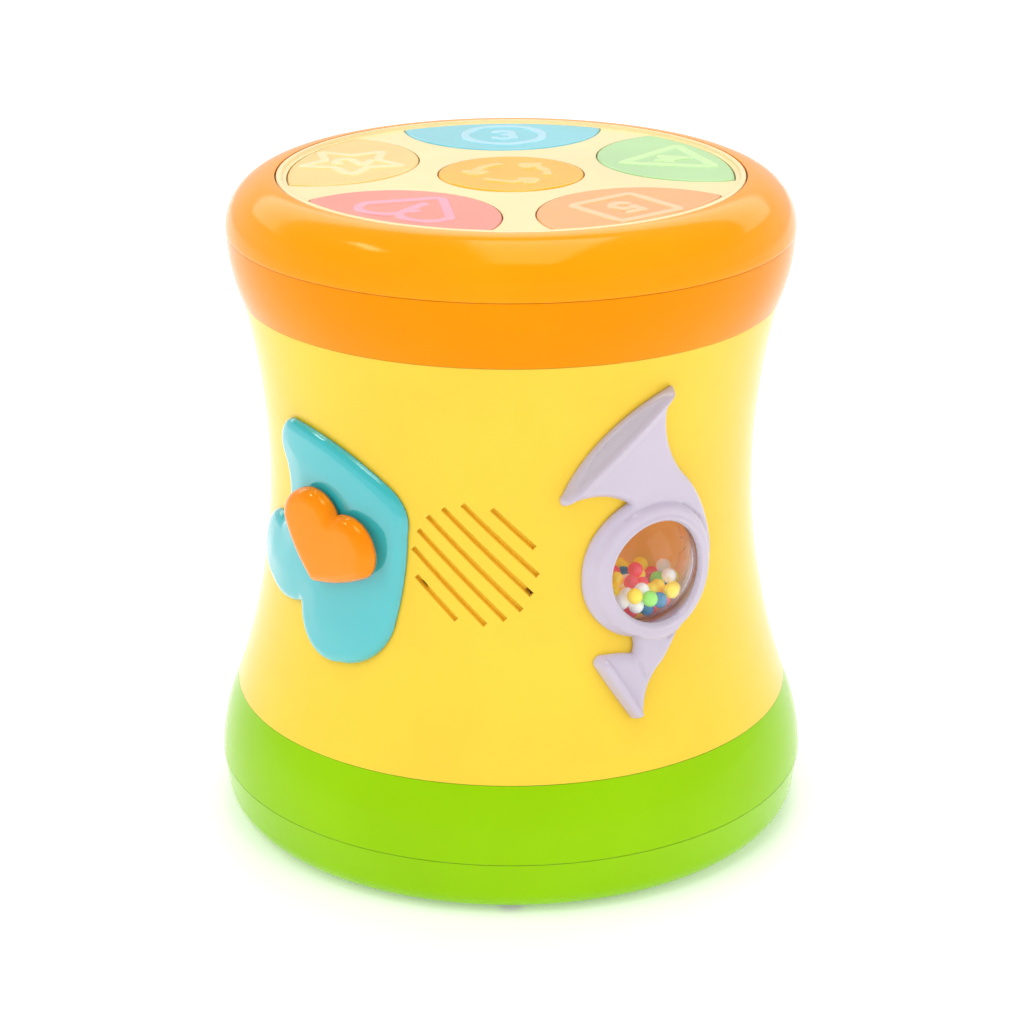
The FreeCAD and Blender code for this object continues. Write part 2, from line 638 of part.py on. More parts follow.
def rattle_ball():
    """The clear ball in a front and a rear half; the rear half carries the two pins."""
    inner = "ball_radius - ball_wall"
    front = ball_sphere("ball_front_dome", "ball_radius", 0, 90)
    pin_space = sideways_rod("ball_pin_space", "pin_radius + pin_clearance", "pin_reach")
    hollow = ball_sphere("ball_front_hollow", inner)
    finish(cut("ball_front_half", front, [hollow, pin_space]), "ball_front_half")
    rear = ball_sphere("ball_rear_dome", "ball_radius", -90, 0)
    pins = sideways_rod("ball_pins", "pin_radius", "pin_reach")
    solid = combine("MultiFuse", "ball_rear_pinned", [rear, pins])
    hollow = ball_sphere("ball_rear_hollow", inner)
    finish(cut("ball_rear_half", solid, [hollow]), "ball_rear_half")


def rattle_cradle():
    inner, outer = "cradle_radius", "cradle_radius + cradle_wall"
    mouth = "ball_depth + cradle_mouth"
    bowl = turned("cradle_bowl", [
        (0, "ball_depth - (%s)" % inner), (0, "ball_depth - (%s)" % outer, outer),
        (outer, "ball_depth"), (outer, mouth), (inner, mouth), (inner, "ball_depth", "-(%s)" % inner)])
    bowl.Placement = on_wall("ball_azimuth", "ball_height")
    bearings = sideways_rod("cradle_bearings", "bearing_radius", "pin_reach + 0.6")
    bore = sideways_rod("cradle_bore", "pin_radius + pin_clearance", "pin_reach + 2")
    hollow = ball_sphere("cradle_hollow", inner)
    solid = combine("MultiFuse", "cradle_solid", [bowl, bearings])
    finish(cut("rattle_cradle", solid, [bore, hollow]), "rattle_cradle")


def rattle_beads():
    """Loose beads stacked in layers in the lower part of the ball."""
    radius, pitch = value("bead_radius"), 2 * value("bead_radius") + 0.1
    reach = value("ball_radius - ball_wall") - radius - 0.1
    layer_rise = pitch * math.sqrt(2 / 3)
    centre_depth = value("ball_depth")
    beads = []
    for layer in range(4):
        height = -reach + 0.6 + layer * layer_rise
        shift = (layer % 2) * pitch / math.sqrt(3)
        for row in range(-5, 6):
            for place in range(-5, 6):
                x = (place + (row % 2) / 2) * pitch
                depth = row * pitch * math.sqrt(3) / 2 + shift
                if x ** 2 + depth ** 2 + height ** 2 < reach ** 2:
                    spot = on_wall("ball_azimuth", "ball_height", x, height, centre_depth + depth)
                    beads.append(Part.makeSphere(radius, spot.Base))
    group = document.addObject("Part::Feature", "rattle_beads")
    group.Shape = Part.makeCompound(beads)
    finish(group, "rattle_beads")


# ---- speaker ------------------------------------------------------------------------


def speaker_cloth():
    """The thin cloth glued inside the wall behind the slots, cut round the screw bosses."""
    low, high = "ring_seam_height", "band_seam_height"
    outside, inside = "wall + cloth_gap", "wall + cloth_gap + cloth_thickness"
    sheet_all_round = turned("cloth_layer", [
        ("ring_seam_radius - (%s)" % outside, low, "-(waist_curve + %s)" % outside),
        ("band_seam_radius - (%s)" % outside, high),
        ("band_seam_radius - (%s)" % inside, high, "waist_curve + %s" % inside),
        ("ring_seam_radius - (%s)" % inside, low)])
    disc = wall_rod("cloth_disc", "speaker_azimuth", "speaker_height", "cloth_radius", 60, 80)
    holes = [wall_rod("cloth_hole_%d" % number, "speaker_azimuth", "speaker_height", 2.8, 60, 80, x, y)
             for number, (x, y) in enumerate(speaker_screw_spots())]
    finish(cut("speaker_cloth", common("cloth_cut", sheet_all_round, disc), holes), "speaker_cloth")


def speaker():
    front = "speaker_front"
    basket = turned("speaker_basket", [
        (5, front + " - 10.2"), (9.6, front + " - 10.2"), (16, front + " - 1.2"),
        ("speaker_radius", front + " - 1.2"), ("speaker_radius", front), (16.3, front),
        (9, front + " - 9"), (5, front + " - 9")])
    cone = turned("speaker_cone", [
        (0, front + " - 5.6"), (5.6, front + " - 7"), (15.3, front + " - 0.9"),
        (15.3, front + " - 0.4"), (5.6, front + " - 6.4"), (0, front + " - 5")])
    magnet = turned("speaker_magnet", [
        (0, front + " - 17"), ("magnet_radius", front + " - 17"),
        ("magnet_radius", front + " - 10.2"), (0, front + " - 10.2")])
    clamp_ring = ring("clamp_ring", 16.6, "clamp_radius", front + " - 3.4", front + " - 1.2")
    clamp_ring.Placement = on_wall("speaker_azimuth", "speaker_height")
    holes = [wall_rod("clamp_hole_%d" % number, "speaker_azimuth", "speaker_height", 1.3,
                      "speaker_front - 5", "speaker_front + 1", x, y)
             for number, (x, y) in enumerate(speaker_screw_spots())]
    finish(cut("speaker_clamp", clamp_ring, holes), "speaker_clamp")
    for piece in (basket, cone, magnet):
        piece.Placement = on_wall("speaker_azimuth", "speaker_height")
        finish(piece, piece.Name)
    screws = []
    for number, (x, y) in enumerate(speaker_screw_spots()):
        small = turned("speaker_screw_%d" % (number + 1), [
            (0, 0), (1.9, 0), (1.9, 1.4), (1, 1.4), (1, 6.4), (0, 6.4)])
        small.Placement = on_wall("speaker_azimuth", "speaker_height", x, y, "speaker_front - 4.8")
        screws.append(small)
    finish(combine("Compound", "speaker_screws", screws), "speaker_screws")


# ---- power and sound in the base ----------------------------------------------------


def battery_compartment():
    floor_top = "foot_height + wall"
    outer = block("box_outer", "box_length", "box_width", "box_height", 0, 0, floor_top)
    posts = [rod("box_post_%d" % number, 3.2, 6, x, y, "main_board_bottom - 6")
             for number, (x, y) in enumerate(board_spots)]
    solid = combine("MultiFuse", "box_solid", [outer] + posts)
    hollow = block("box_hollow", "box_length - 2 * box_wall", "box_width - 2 * box_wall",
                   "box_height - box_wall + 2", 0, 0, floor_top + " - 2")
    pilots = [rod("box_pilot_%d" % number, "pilot_radius", 3.6, x, y, "main_board_bottom - 3")
              for number, (x, y) in enumerate(board_spots)]
    finish(cut("battery_box", solid, [hollow] + pilots), "battery_box")
    door = block("door_slab", "box_length - 2 * box_wall - 0.6", "box_width - 2 * box_wall - 0.6",
                 "wall", 0, 0, "foot_height")
    door_hole = rod("door_hole", "head_radius + 0.3", 2, 25.5, 0, 0)
    finish(cut("battery_door", door, [door_hole]), "battery_door")
    finish(turned("door_screw", [
        (0, "foot_height + 0.2"), ("head_radius", "foot_height + 0.2"), ("head_radius", 2),
        (0, 2)]), "door_screw")
    finished[-1].Placement = FreeCAD.Placement(FreeCAD.Vector(25.5, 0, 0), FreeCAD.Rotation())


def cell_along_y(name, radius, start, length, x):
    return along_y(name, radius, start, "(%s) + (%s)" % (start, length), x, value("cell_height"))


def batteries():
    cells = []
    contacts = []
    for number in (-1, 0, 1):
        x = number * value("cell_pitch")
        cells.append(cell_along_y("cell_%d" % (number + 2), "cell_radius", "-cell_length / 2",
                                  "cell_length", x))
        for side in (-1, 1):
            start = 25.1 if side > 0 else -26.4
            name = "%d_%s" % (number + 2, "rear" if side > 0 else "front")
            contacts.append(cell_along_y("spring_" + name, 3, start, 1.3, x))
            contacts.append(block("plate_" + name, 11, 0.5, 10, x, side * 26.65, 6.2))
    finish(combine("Compound", "battery_cells", cells), "battery_cells")
    finish(combine("Compound", "battery_contacts", contacts), "battery_contacts")


board_spots = [(x, y) for x in (-28, 28) for y in (-20, 20)]


def main_board():
    slab = block("board_slab", "main_board_length", "main_board_width", "board_thickness",
                 0, 0, "main_board_bottom")
    holes = [rod("board_hole_%d" % number, "screw_hole", 4, x, y, "main_board_bottom - 1")
             for number, (x, y) in enumerate(board_spots)]
    finish(cut("main_board", slab, holes), "main_board")
    top = "main_board_bottom + board_thickness"
    finish(turned("sound_chip", [(0, top), (7, top), (5, top + " + 1.6"), (0, top + " + 2.2")]),
           "sound_chip")
    cans = [rod("can_%d" % number, 3.2, 8, x, 14, top) for number, x in enumerate((-14, -5, 14))]
    finish(combine("Compound", "capacitors", cans), "capacitors")
    sockets = [block("socket_%d" % number, 8, 5, 6, x, -19, top)
               for number, x in enumerate((-15, 0, 15))]
    finish(combine("Compound", "wire_sockets", sockets), "wire_sockets")
    screw_group("board_screws", board_spots, top + " + head_height", 4, flip=True)


def power_switch():
    knob_x = "-switch_travel / 2"
    tip = block("knob_tip", "knob_length", "knob_width", 4.4, knob_x, "switch_y", 0.4)
    shoe = block("knob_shoe", "knob_length + 3", "knob_width + 4", 1.2, knob_x, "switch_y",
                 "foot_height + wall + 0.2")
    lever = block("knob_lever", 2.4, 2.4, 3.2, knob_x, "switch_y", "foot_height + wall + 1")
    finish(combine("MultiFuse", "switch_knob", [tip, shoe, lever]), "switch_knob")
    case = block("switch_case", 22, 9, 5.5, 0, "switch_y", "foot_height + wall + 2")
    groove = block("switch_groove", "switch_travel + 3.2", 3.2, 3.5, 0, "switch_y",
                   "foot_height + wall + 1.4")
    finish(cut("switch_body", case, [groove]), "switch_body")


def wires():
    """The ribbon from the main board up to the pads and the pair to the speaker."""
    top = "main_board_bottom + board_thickness + 6"
    finish(block("pad_ribbon", 14, 1, "pad_board_top - board_thickness - (%s)" % top, 0, -19, top),
           "pad_ribbon")
    route = [FreeCAD.Vector(-15, -19, 32), FreeCAD.Vector(-15, -19, 60),
             FreeCAD.Vector(-14, -40, 90), FreeCAD.Vector(-8, -50, 106)]
    curve = Part.BSplineCurve()
    curve.interpolate(route)
    path = Part.Wire(curve.toShape())
    start = Part.Wire(Part.makeCircle(0.9, route[0], curve.tangent(curve.FirstParameter)[0]))
    pair = document.addObject("Part::Feature", "speaker_wire")
    pair.Shape = path.makePipeShell([start], True, True)
    finish(pair, "speaker_wire")


def fasteners_and_feet():
    screw_group("base_screws", circle_spots(4, 0, "base_screw_distance"), 4.3, 11.5)
    screws = []
    for number, (x, z) in enumerate(screw_places):
        one = screw("shell_screw_%d" % (number + 1), 0, 20)
        toward_front = FreeCAD.Rotation(FreeCAD.Vector(1, 0, 0), 90)
        well_floor = FreeCAD.Vector(value(x), 6 + value("head_height"), z)
        one.Placement = FreeCAD.Placement(well_floor, toward_front)
        screws.append(one)
    finish(combine("Compound", "shell_screws", screws), "shell_screws")
    feet = polar_rods("foot", 4, 45, "foot_distance", "foot_radius", "foot_height", 0)
    finish(combine("Compound", "rubber_feet", feet), "rubber_feet")


def write_files():
    os.makedirs("parts", exist_ok=True)
    for thing in finished:
        if "Invalid" in thing.State or "Error" in thing.State:
            raise RuntimeError("%s did not build: %s" % (thing.Label, thing.State))
        if thing.Shape.isNull() or not thing.Shape.isValid() or not thing.Shape.Solids:
            raise RuntimeError("%s has no valid solid" % thing.Label)
        thing.Shape.exportStep("parts/%s.step" % thing.Label)


bottom_cover()
base_ring()
waist_core = turned("waist_core", waist_corners("solid"))
front_shell(waist_core)
rear_shell(waist_core)
drum_band()
top_rim()
deck()
plaques()
heart_knob()
heart_spindle()
rattle_ball()
rattle_cradle()
rattle_beads()
speaker_cloth()
speaker()
battery_compartment()
batteries()
main_board()
power_switch()
wires()
fasteners_and_feet()
document.recompute()
write_files()
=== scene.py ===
import math

import bpy
import numpy as np
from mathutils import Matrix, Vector, geometry


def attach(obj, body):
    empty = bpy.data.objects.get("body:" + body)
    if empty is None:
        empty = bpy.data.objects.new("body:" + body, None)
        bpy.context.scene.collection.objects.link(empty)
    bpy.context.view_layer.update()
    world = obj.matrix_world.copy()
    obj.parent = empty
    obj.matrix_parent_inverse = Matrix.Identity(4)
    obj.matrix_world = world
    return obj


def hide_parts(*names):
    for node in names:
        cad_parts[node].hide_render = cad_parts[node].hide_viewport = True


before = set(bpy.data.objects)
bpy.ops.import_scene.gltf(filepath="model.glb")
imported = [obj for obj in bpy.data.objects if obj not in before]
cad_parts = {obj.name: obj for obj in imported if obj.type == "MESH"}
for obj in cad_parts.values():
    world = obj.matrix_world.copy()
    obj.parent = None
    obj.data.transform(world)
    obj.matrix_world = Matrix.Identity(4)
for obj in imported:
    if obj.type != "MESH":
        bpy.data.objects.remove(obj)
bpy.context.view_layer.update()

# Lengths on the part are in millimetres and become metres where a mesh is made. Angles are in
# degrees. The stage, its lights and the camera are placed in metres.
MM = 0.001
WAIST_CURVE = 230
WAIST_RADIUS = 78.2
WAIST_HEIGHT = 117.5
NOTE_AZIMUTH, HORN_AZIMUTH = -46, 32
PLAQUE_UNDERCUT = 0.4
HEART_AZIMUTH, HEART_HEIGHT, HEART_TILT = -40.6, 112.8, 21.5
HEART_BACK, HEART_THICKNESS, HEART_ROUNDING, HEART_CROWN = 84.4, 5.2, 4.6, 0.2
SHAFT_RADIUS, SHAFT_START = 4, 72.8
BALL_AZIMUTH, BALL_HEIGHT, BALL_DEPTH = 32.8, 104.5, 67.5
BALL_INNER_RADIUS, COLLAR_RADIUS = 19.3, 20.9
COLLAR_ANGLES, COLLAR_SEGMENTS = (52, 57, 63, 70), 120
BEAD_RADIUS, BEAD_COUNT = 2.4, 78
START_SPREAD, START_DROP = 0.4, 0.3
SINK_STEPS, REST_STEPS, SINK_PER_STEP, PUSH_SHARE = 560, 140, 0.12, 0.45
PAD_TOP, FLANGE_TOP, FLANGE_BOTTOM = 211.2, 208.2, 206.4
PETAL_RADIUS, PETAL_DISTANCE, PAD_EDGE_RADIUS, PAD_GAP = 33.2, 64.6, 70.3, 0.35
PETAL_FILLET, FLANGE_SPREAD, PAD_ROUNDING = 2.0, 1.0, 0.8
PAD_STROKE, MODE_STROKE, ICON_RISE = 3.1, 2.8, 0.35
MODE_PAD_RADIUS, ARROW_RADIUS, ARROW_INNER, ARROW_OUTER = 22.8, 11.4, 8.6, 14.2
ARROW_STARTS, ARROW_SWEEP, HEAD_START, HEAD_END = (110, 230, 350), 62, 63, 82
PAD_COUNT, FIRST_PAD_ANGLE, PAD_STEP_ANGLE = 5, -123.3, 72
CAMERA_LENS, CAMERA_SENSOR, CAMERA_DOWN = 97.9, 36, 20.73
CAMERA_PLACE = (0.0003, -0.8541, 0.4208)


# ---- flat outlines --------------------------------------------------------------------------


def arc(centre, radius, start, end, step=0.5):
    """Points along a circle's arc, from one angle in degrees to another."""
    count = max(3, int(abs(math.radians(end - start)) * radius / step) + 1)
    angles = np.radians(np.linspace(start, end, count))
    x = centre[0] + radius * np.cos(angles)
    y = centre[1] + radius * np.sin(angles)
    return np.stack([x, y], -1)


def arc_through(start, middle, end, step=0.5):
    """Points along the arc through three points, without the last one."""
    (ax, ay), (bx, by), (cx, cy) = start, middle, end
    spread = 2 * (ax * (by - cy) + bx * (cy - ay) + cx * (ay - by))
    if abs(spread) < 1e-6:
        count = max(2, int(math.dist(start, end) / step) + 1)
        return np.linspace(start, end, count)[:-1]
    a, b, c = ax * ax + ay * ay, bx * bx + by * by, cx * cx + cy * cy
    ux = (a * (by - cy) + b * (cy - ay) + c * (ay - by)) / spread
    uy = (a * (cx - bx) + b * (ax - cx) + c * (bx - ax)) / spread
    angles = [math.atan2(y - uy, x - ux) for x, y in (start, middle, end)]
    sweep = (angles[2] - angles[0]) % math.tau
    if (angles[1] - angles[0]) % math.tau > sweep:
        sweep -= math.tau
    radius = math.dist(start, (ux, uy))
    first = math.degrees(angles[0])
    return arc((ux, uy), radius, first, first + math.degrees(sweep), step)[:-1]


def arc_chain(points):
    """A closed outline of three-point arcs: corner, middle, corner, middle, ..."""
    count = len(points)
    pieces = [arc_through(points[i], points[i + 1], points[(i + 2) % count])
              for i in range(0, count, 2)]
    return np.concatenate(pieces)


def distance_to(points, line, closed=True):
    """The distance from every point to the nearest place on a line of points."""
    starts = line if closed else line[:-1]
    ends = np.roll(line, -1, axis=0) if closed else line[1:]
    nearest = np.full(len(points), 1e9)
    for first in range(0, len(points), 4000):
        block = points[first:first + 4000, None, :] - starts[None]
        way = (ends - starts)[None]
        share = (block * way).sum(-1) / np.maximum((way * way).sum(-1), 1e-12)
        gap = block - np.clip(share, 0, 1)[..., None] * way
        nearest[first:first + 4000] = np.sqrt((gap * gap).sum(-1)).min(1)
    return nearest


def inside(points, outline):
    """Which points lie inside a closed outline."""
    hits = np.zeros(len(points), bool)
    ends = np.roll(outline, -1, axis=0)
    for (ax, ay), (bx, by) in zip(outline, ends):
        if ay == by:
            continue
        crosses = (points[:, 1] < ay) != (points[:, 1] < by)
        at = ax + (points[:, 1] - ay) * (bx - ax) / (by - ay)
        hits ^= crosses & (points[:, 0] < at)
    return hits


def grid_in(outline, spacing):
    """A triangular grid of points over the outline's box."""
    low, high = outline.min(0), outline.max(0)
    rows = np.arange(low[1], high[1], spacing * math.sqrt(3) / 2)
    columns = np.arange(low[0], high[0], spacing)
    x, y = np.meshgrid(columns, rows)
    x = x + (np.arange(len(rows)) % 2)[:, None] * spacing / 2
    return np.stack([x.ravel(), y.ravel()], -1)


def inward_ways(outline):
    """The inward direction at every point of a closed outline."""
    ahead = np.roll(outline, -1, axis=0) - np.roll(outline, 1, axis=0)
    ahead /= np.linalg.norm(ahead, axis=1)[:, None]
    inward = np.stack([-ahead[:, 1], ahead[:, 0]], -1)
    return inward if inside(outline[:1] + inward[:1] * 0.05, outline)[0] else -inward


def inset_rings(outline, depths):
    """Copies of the outline moved inward by each depth, without points that fold over."""
    inward = inward_ways(outline)
    rings = []
    for depth in depths:
        moved = outline + inward * depth
        kept = inside(moved, outline) & (distance_to(moved, outline) > depth * 0.93)
        rings.append(moved[kept])
    return np.concatenate(rings)


# ---- meshes ---------------------------------------------------------------------------------


def new_object(name, vertices, faces, material, smooth=True):
    """A mesh object of one material, linked to the scene."""
    mesh = bpy.data.meshes.new(name)
    mesh.from_pydata([tuple(vertex) for vertex in vertices], [], faces)
    mesh.polygons.foreach_set("use_smooth", [smooth] * len(mesh.polygons))
    mesh.materials.append(material)
    piece = bpy.data.objects.new(name, mesh)
    bpy.context.collection.objects.link(piece)
    return piece


def relief(name, outline, place, height, material, spacing=0.8, extra=(), hole=None, base=0.0,
           hole_base=0.0, undercut=0.0, mask=None,
           depths=(0.06, 0.22, 0.5, 0.9, 1.4, 2.0, 2.7, 3.5, 4.4)):
    """A raised shape. height(points, depth) gives the top, and a wall drops from its edge to base.

    The wall leans in by undercut at its foot. mask(points) is kept on the top's corners as the
    attribute "icon", which marks the pads' icons and the painted shade on the horn's mouth face.
    """
    points = grid_in(outline, spacing)
    if len(extra):
        points = np.concatenate([points, extra])
    points = points[inside(points, outline)]
    points = points[distance_to(points, outline) > depths[-1] * 0.6]
    points = np.concatenate([points, inset_rings(outline, depths)])
    border = [outline]
    if hole is not None:
        points = points[~inside(points, hole)]
        points = points[distance_to(points, hole) > 0.12]
        border.append(hole)
    count = sum(len(line) for line in border)
    edges = []
    for line in border:
        first = len(edges)
        edges += [(first + i, first + (i + 1) % len(line)) for i in range(len(line))]
    flat = np.concatenate(border + [points])
    corners = [Vector(point) for point in flat]
    result = geometry.delaunay_2d_cdt(corners, edges, [], 0, 1e-5)
    flat = np.array([tuple(point) for point in result[0]])
    faces = [face for face in result[2] if len(face) == 3]
    middle = flat[np.array(faces)].mean(1)
    keep = inside(middle, outline)
    if hole is not None:
        keep &= ~inside(middle, hole)
    faces = [list(face) for face, wanted in zip(faces, keep) if wanted]
    depth = distance_to(flat, outline)
    if hole is not None:
        depth = np.minimum(depth, distance_to(flat, hole))
    top = height(flat, depth)
    vertices = list(place(flat, top))
    bases = np.full(count, base)
    bases[len(outline):] = hole_base
    first_low = len(vertices)
    feet = flat[:count].copy()
    feet[:len(outline)] += inward_ways(outline) * undercut
    vertices += list(place(feet, bases))
    for start, end in edges:
        faces.append([end, start, first_low + start, first_low + end])
    piece = new_object(name, vertices, faces, material)
    if mask is not None:
        values = np.zeros(len(vertices))
        values[:len(flat)] = mask(flat)
        attribute = piece.data.attributes.new("icon_and_painted_shade", "FLOAT", "POINT")
        attribute.data.foreach_set("value", values)
    return piece


def waist(z):
    """The wall's radius at a height."""
    return WAIST_RADIUS + WAIST_CURVE - np.sqrt(WAIST_CURVE ** 2 - (z - WAIST_HEIGHT) ** 2)


def wall_frame(azimuth):
    """The sideways, upward and outward directions at an azimuth on the wall."""
    turn = math.radians(azimuth)
    return (np.array([math.cos(turn), math.sin(turn), 0]), np.array([0, 0, 1.0]),
            np.array([math.sin(turn), -math.cos(turn), 0]))


def wrapped(azimuth):
    """Lays flat points and heights on the waist wall; x runs sideways, y is the height."""
    side, up, out = wall_frame(azimuth)

    def place(flat, height):
        radius = waist(flat[:, 1]) + height
        depth = np.sqrt(np.maximum(radius ** 2 - flat[:, 0] ** 2, 0))
        return (flat[:, :1] * side + flat[:, 1:] * up + depth[:, None] * out) * MM
    return place


def standing(azimuth, centre_height, depth, tilt):
    """Stands flat points square to the wall direction, turned clockwise by tilt."""
    side, up, out = wall_frame(azimuth)
    turn = math.radians(tilt)

    def place(flat, height):
        x = flat[:, 0] * math.cos(turn) + flat[:, 1] * math.sin(turn)
        y = -flat[:, 0] * math.sin(turn) + flat[:, 1] * math.cos(turn) + centre_height
        return (x[:, None] * side + y[:, None] * up + (depth + height)[:, None] * out) * MM
    return place


def lying(z):
    """Lays flat points level at a height."""
    def place(flat, height):
        return np.stack([flat[:, 0], flat[:, 1], z + height], -1) * MM
    return place


def pillow(depth, rise, width):
    """The height of a rounded edge: zero at the rim, rise from width inward."""
    share = np.clip(depth / width, 0, 1)
    return rise * np.sqrt(1 - (1 - share) ** 2)


def smooth_step(value, low, high):
    """Rises smoothly from 0 at low to 1 at high."""
    share = np.clip((value - low) / (high - low), 0, 1)
    return share * share * (3 - 2 * share)


# ---- materials ------------------------------------------------------------------------------


WHITE = (1.0, 1.0, 1.0)
YELLOW = (1.0, 0.67, 0.06)
# The second orange is the band's plastic made lighter for the rim: painted light for the light that
# falls on the rim from above.
ORANGE, ORANGE_PAINTED_LIGHT = (1.0, 0.30, 0.002), (1.0, 0.35, 0.002)
GREEN = (0.31, 0.64, 0.001)
TURQUOISE = (0.03, 0.52, 0.56)
# The mouth colour is painted shade: a darker lavender laid on the bell's recessed mouth face.
LAVENDER, MOUTH_PAINTED_SHADE = (0.61, 0.54, 0.66), (0.53, 0.46, 0.51)
HEART = (0.98, 0.26, 0.002)
CREAM = (0.93, 0.76, 0.38)
PAD_NAMES = ["red_pad", "yellow_pad", "blue_pad", "green_pad", "orange_pad"]
PAD_COLOURS = [(0.90, 0.275, 0.20), (0.92, 0.61, 0.19), (0.21, 0.60, 0.67), (0.44, 0.71, 0.31),
               (0.90, 0.395, 0.12)]
ICON_COLOURS = [(0.93, 0.35, 0.44), (0.95, 0.74, 0.38), (0.40, 0.70, 0.80), (0.58, 0.83, 0.36),
                (0.93, 0.58, 0.30)]
MODE_COLOUR, MODE_ICON = (0.92, 0.46, 0.005), (0.94, 0.60, 0.17)
WARM_GLOSS = (1.0, 0.80, 0.35)
ORANGE_GLOSS = (1.0, 0.72, 0.12)
GREEN_GLOSS = (0.85, 1.0, 0.3)
STEEL = (0.62, 0.62, 0.64)
BEAD_COLOURS = [(0.98, 0.72, 0.04), (0.92, 0.10, 0.13), (0.93, 0.93, 0.93), (0.03, 0.22, 0.42),
                (0.30, 0.78, 0.14)]
BEAD_SHARES = [0.32, 0.30, 0.16, 0.11, 0.11]


def node(tree, kind, **sockets):
    """A new shader node with some of its inputs set."""
    made = tree.nodes.new(kind)
    for name, value in sockets.items():
        made.inputs[name.replace("_", " ")].default_value = value
    return made


def noise(tree, scale, detail=4.0):
    """Noise in the object's own metres."""
    place = tree.nodes.new("ShaderNodeTexCoord")
    made = node(tree, "ShaderNodeTexNoise", Scale=scale, Detail=detail)
    tree.links.new(place.outputs["Object"], made.inputs["Vector"])
    return made.outputs["Fac"]


def remap(tree, source, from_low, from_high, to_low, to_high):
    """Stretches a source's values from one range to another."""
    made = node(tree, "ShaderNodeMapRange", From_Min=from_low, From_Max=from_high,
                To_Min=to_low, To_Max=to_high)
    tree.links.new(source, made.inputs["Value"])
    return made.outputs["Result"]


def combine(tree, operation, first, second):
    """Two values joined by an operation such as MULTIPLY or MAXIMUM."""
    made = tree.nodes.new("ShaderNodeMath")
    made.operation = operation
    tree.links.new(first, made.inputs[0])
    tree.links.new(second, made.inputs[1])
    return made.outputs[0]


def add_bump(tree, shader, height, strength, distance):
    """Lets a height pattern disturb the surface."""
    bump = node(tree, "ShaderNodeBump", Strength=strength, Distance=distance)
    tree.links.new(height, bump.inputs["Height"])
    tree.links.new(bump.outputs["Normal"], shader.inputs["Normal"])
    return bump


def mix_colour(tree, factor, first, second):
    """Mixes two colours, each a tuple or another node's output."""
    made = tree.nodes.new("ShaderNodeMix")
    made.data_type = "RGBA"
    tree.links.new(factor, made.inputs["Factor"])
    for socket, colour in ((made.inputs[6], first), (made.inputs[7], second)):
        if isinstance(colour, tuple):
            socket.default_value = (*colour, 1)
        else:
            tree.links.new(colour, socket)
    return made.outputs[2]


def shade(colour, amount):
    """The colour made darker or lighter by a factor."""
    return tuple(min(1.0, channel * amount) for channel in colour)


def paler(colour, share):
    """The colour moved part of the way to white."""
    return tuple(channel + (1 - channel) * share for channel in colour)


def edge_mask(tree, radius):
    """About 1 where a sharp edge is near, else 0."""
    bevel = node(tree, "ShaderNodeBevel", Radius=radius)
    bevel.samples = 4
    plain = tree.nodes.new("ShaderNodeNewGeometry")
    dot = tree.nodes.new("ShaderNodeVectorMath")
    dot.operation = "DOT_PRODUCT"
    tree.links.new(bevel.outputs["Normal"], dot.inputs[0])
    tree.links.new(plain.outputs["Normal"], dot.inputs[1])
    return remap(tree, dot.outputs["Value"], 0.98, 0.7, 0, 1)


def new_material(name):
    """A new material with its node tree and its shader."""
    made = bpy.data.materials.new(name)
    made.use_nodes = True
    tree = made.node_tree
    return made, tree, tree.nodes["Principled BSDF"]


def plastic(name, colour, roughness=0.2, grain=0.03, gloss=WHITE, shine=0.5, coat=0.0, soft=0.0,
            painted_glow=0.0, wear=0.12, icon_and_shade_colour=None):
    """Moulded plastic: faint colour drift, uneven gloss, orange peel and paler worn edges.

    The emission strength argument is painted glow: light in the plastic's own colour that lightens a
    part sitting in shade, though it is no lamp.
    """
    made, tree, shader = new_material(name)
    drift = remap(tree, noise(tree, 22, 3), 0.35, 0.65, 0, 1)
    base = mix_colour(tree, drift, shade(colour, 0.97), shade(colour, 1.03))
    worn = remap(tree, noise(tree, 260, 5), 0.45, 0.62, 0, wear)
    edge = combine(tree, "MULTIPLY", worn, edge_mask(tree, 0.0005))
    base = mix_colour(tree, edge, base, paler(colour, 0.5))
    # The second colour is the pads' icons, and painted shade on the horn's mouth face.
    if icon_and_shade_colour:
        mask = tree.nodes.new("ShaderNodeAttribute")
        mask.attribute_name = "icon_and_painted_shade"
        base = mix_colour(tree, mask.outputs["Fac"], base, icon_and_shade_colour)
    tree.links.new(base, shader.inputs["Base Color"])
    smudge = remap(tree, noise(tree, 45, 6), 0.35, 0.7, roughness * 0.8, roughness * 1.25)
    tree.links.new(smudge, shader.inputs["Roughness"])
    bump = add_bump(tree, shader, noise(tree, 900, 2), grain, 0.0006)
    bevel = node(tree, "ShaderNodeBevel", Radius=0.0004)
    bevel.samples = 4
    tree.links.new(bevel.outputs["Normal"], bump.inputs["Normal"])
    shader.inputs["IOR"].default_value = 1.49
    shader.inputs["Coat Weight"].default_value = coat
    shader.inputs["Specular Tint"].default_value = (*gloss, 1)
    shader.inputs["Specular IOR Level"].default_value = shine
    shader.inputs["Subsurface Weight"].default_value = soft
    shader.inputs["Subsurface Scale"].default_value = 0.003
    # Painted glow: emission in the plastic's own colour, though the part is no lamp.
    shader.inputs["Emission Color"].default_value = (*colour, 1)
    shader.inputs["Emission Strength"].default_value = painted_glow
    return made


def metal(name, colour, roughness):
    """Plated metal with a faint stain and a fine uneven finish."""
    made, tree, shader = new_material(name)
    stain = remap(tree, noise(tree, 180, 4), 0.4, 0.6, 0, 1)
    tint = mix_colour(tree, stain, shade(colour, 0.85), colour)
    tree.links.new(tint, shader.inputs["Base Color"])
    finish = remap(tree, noise(tree, 700, 3), 0.3, 0.7, roughness * 0.7, roughness * 1.4)
    tree.links.new(finish, shader.inputs["Roughness"])
    add_bump(tree, shader, noise(tree, 1500, 2), 0.1, 0.0003)
    shader.inputs["Metallic"].default_value = 1
    return made


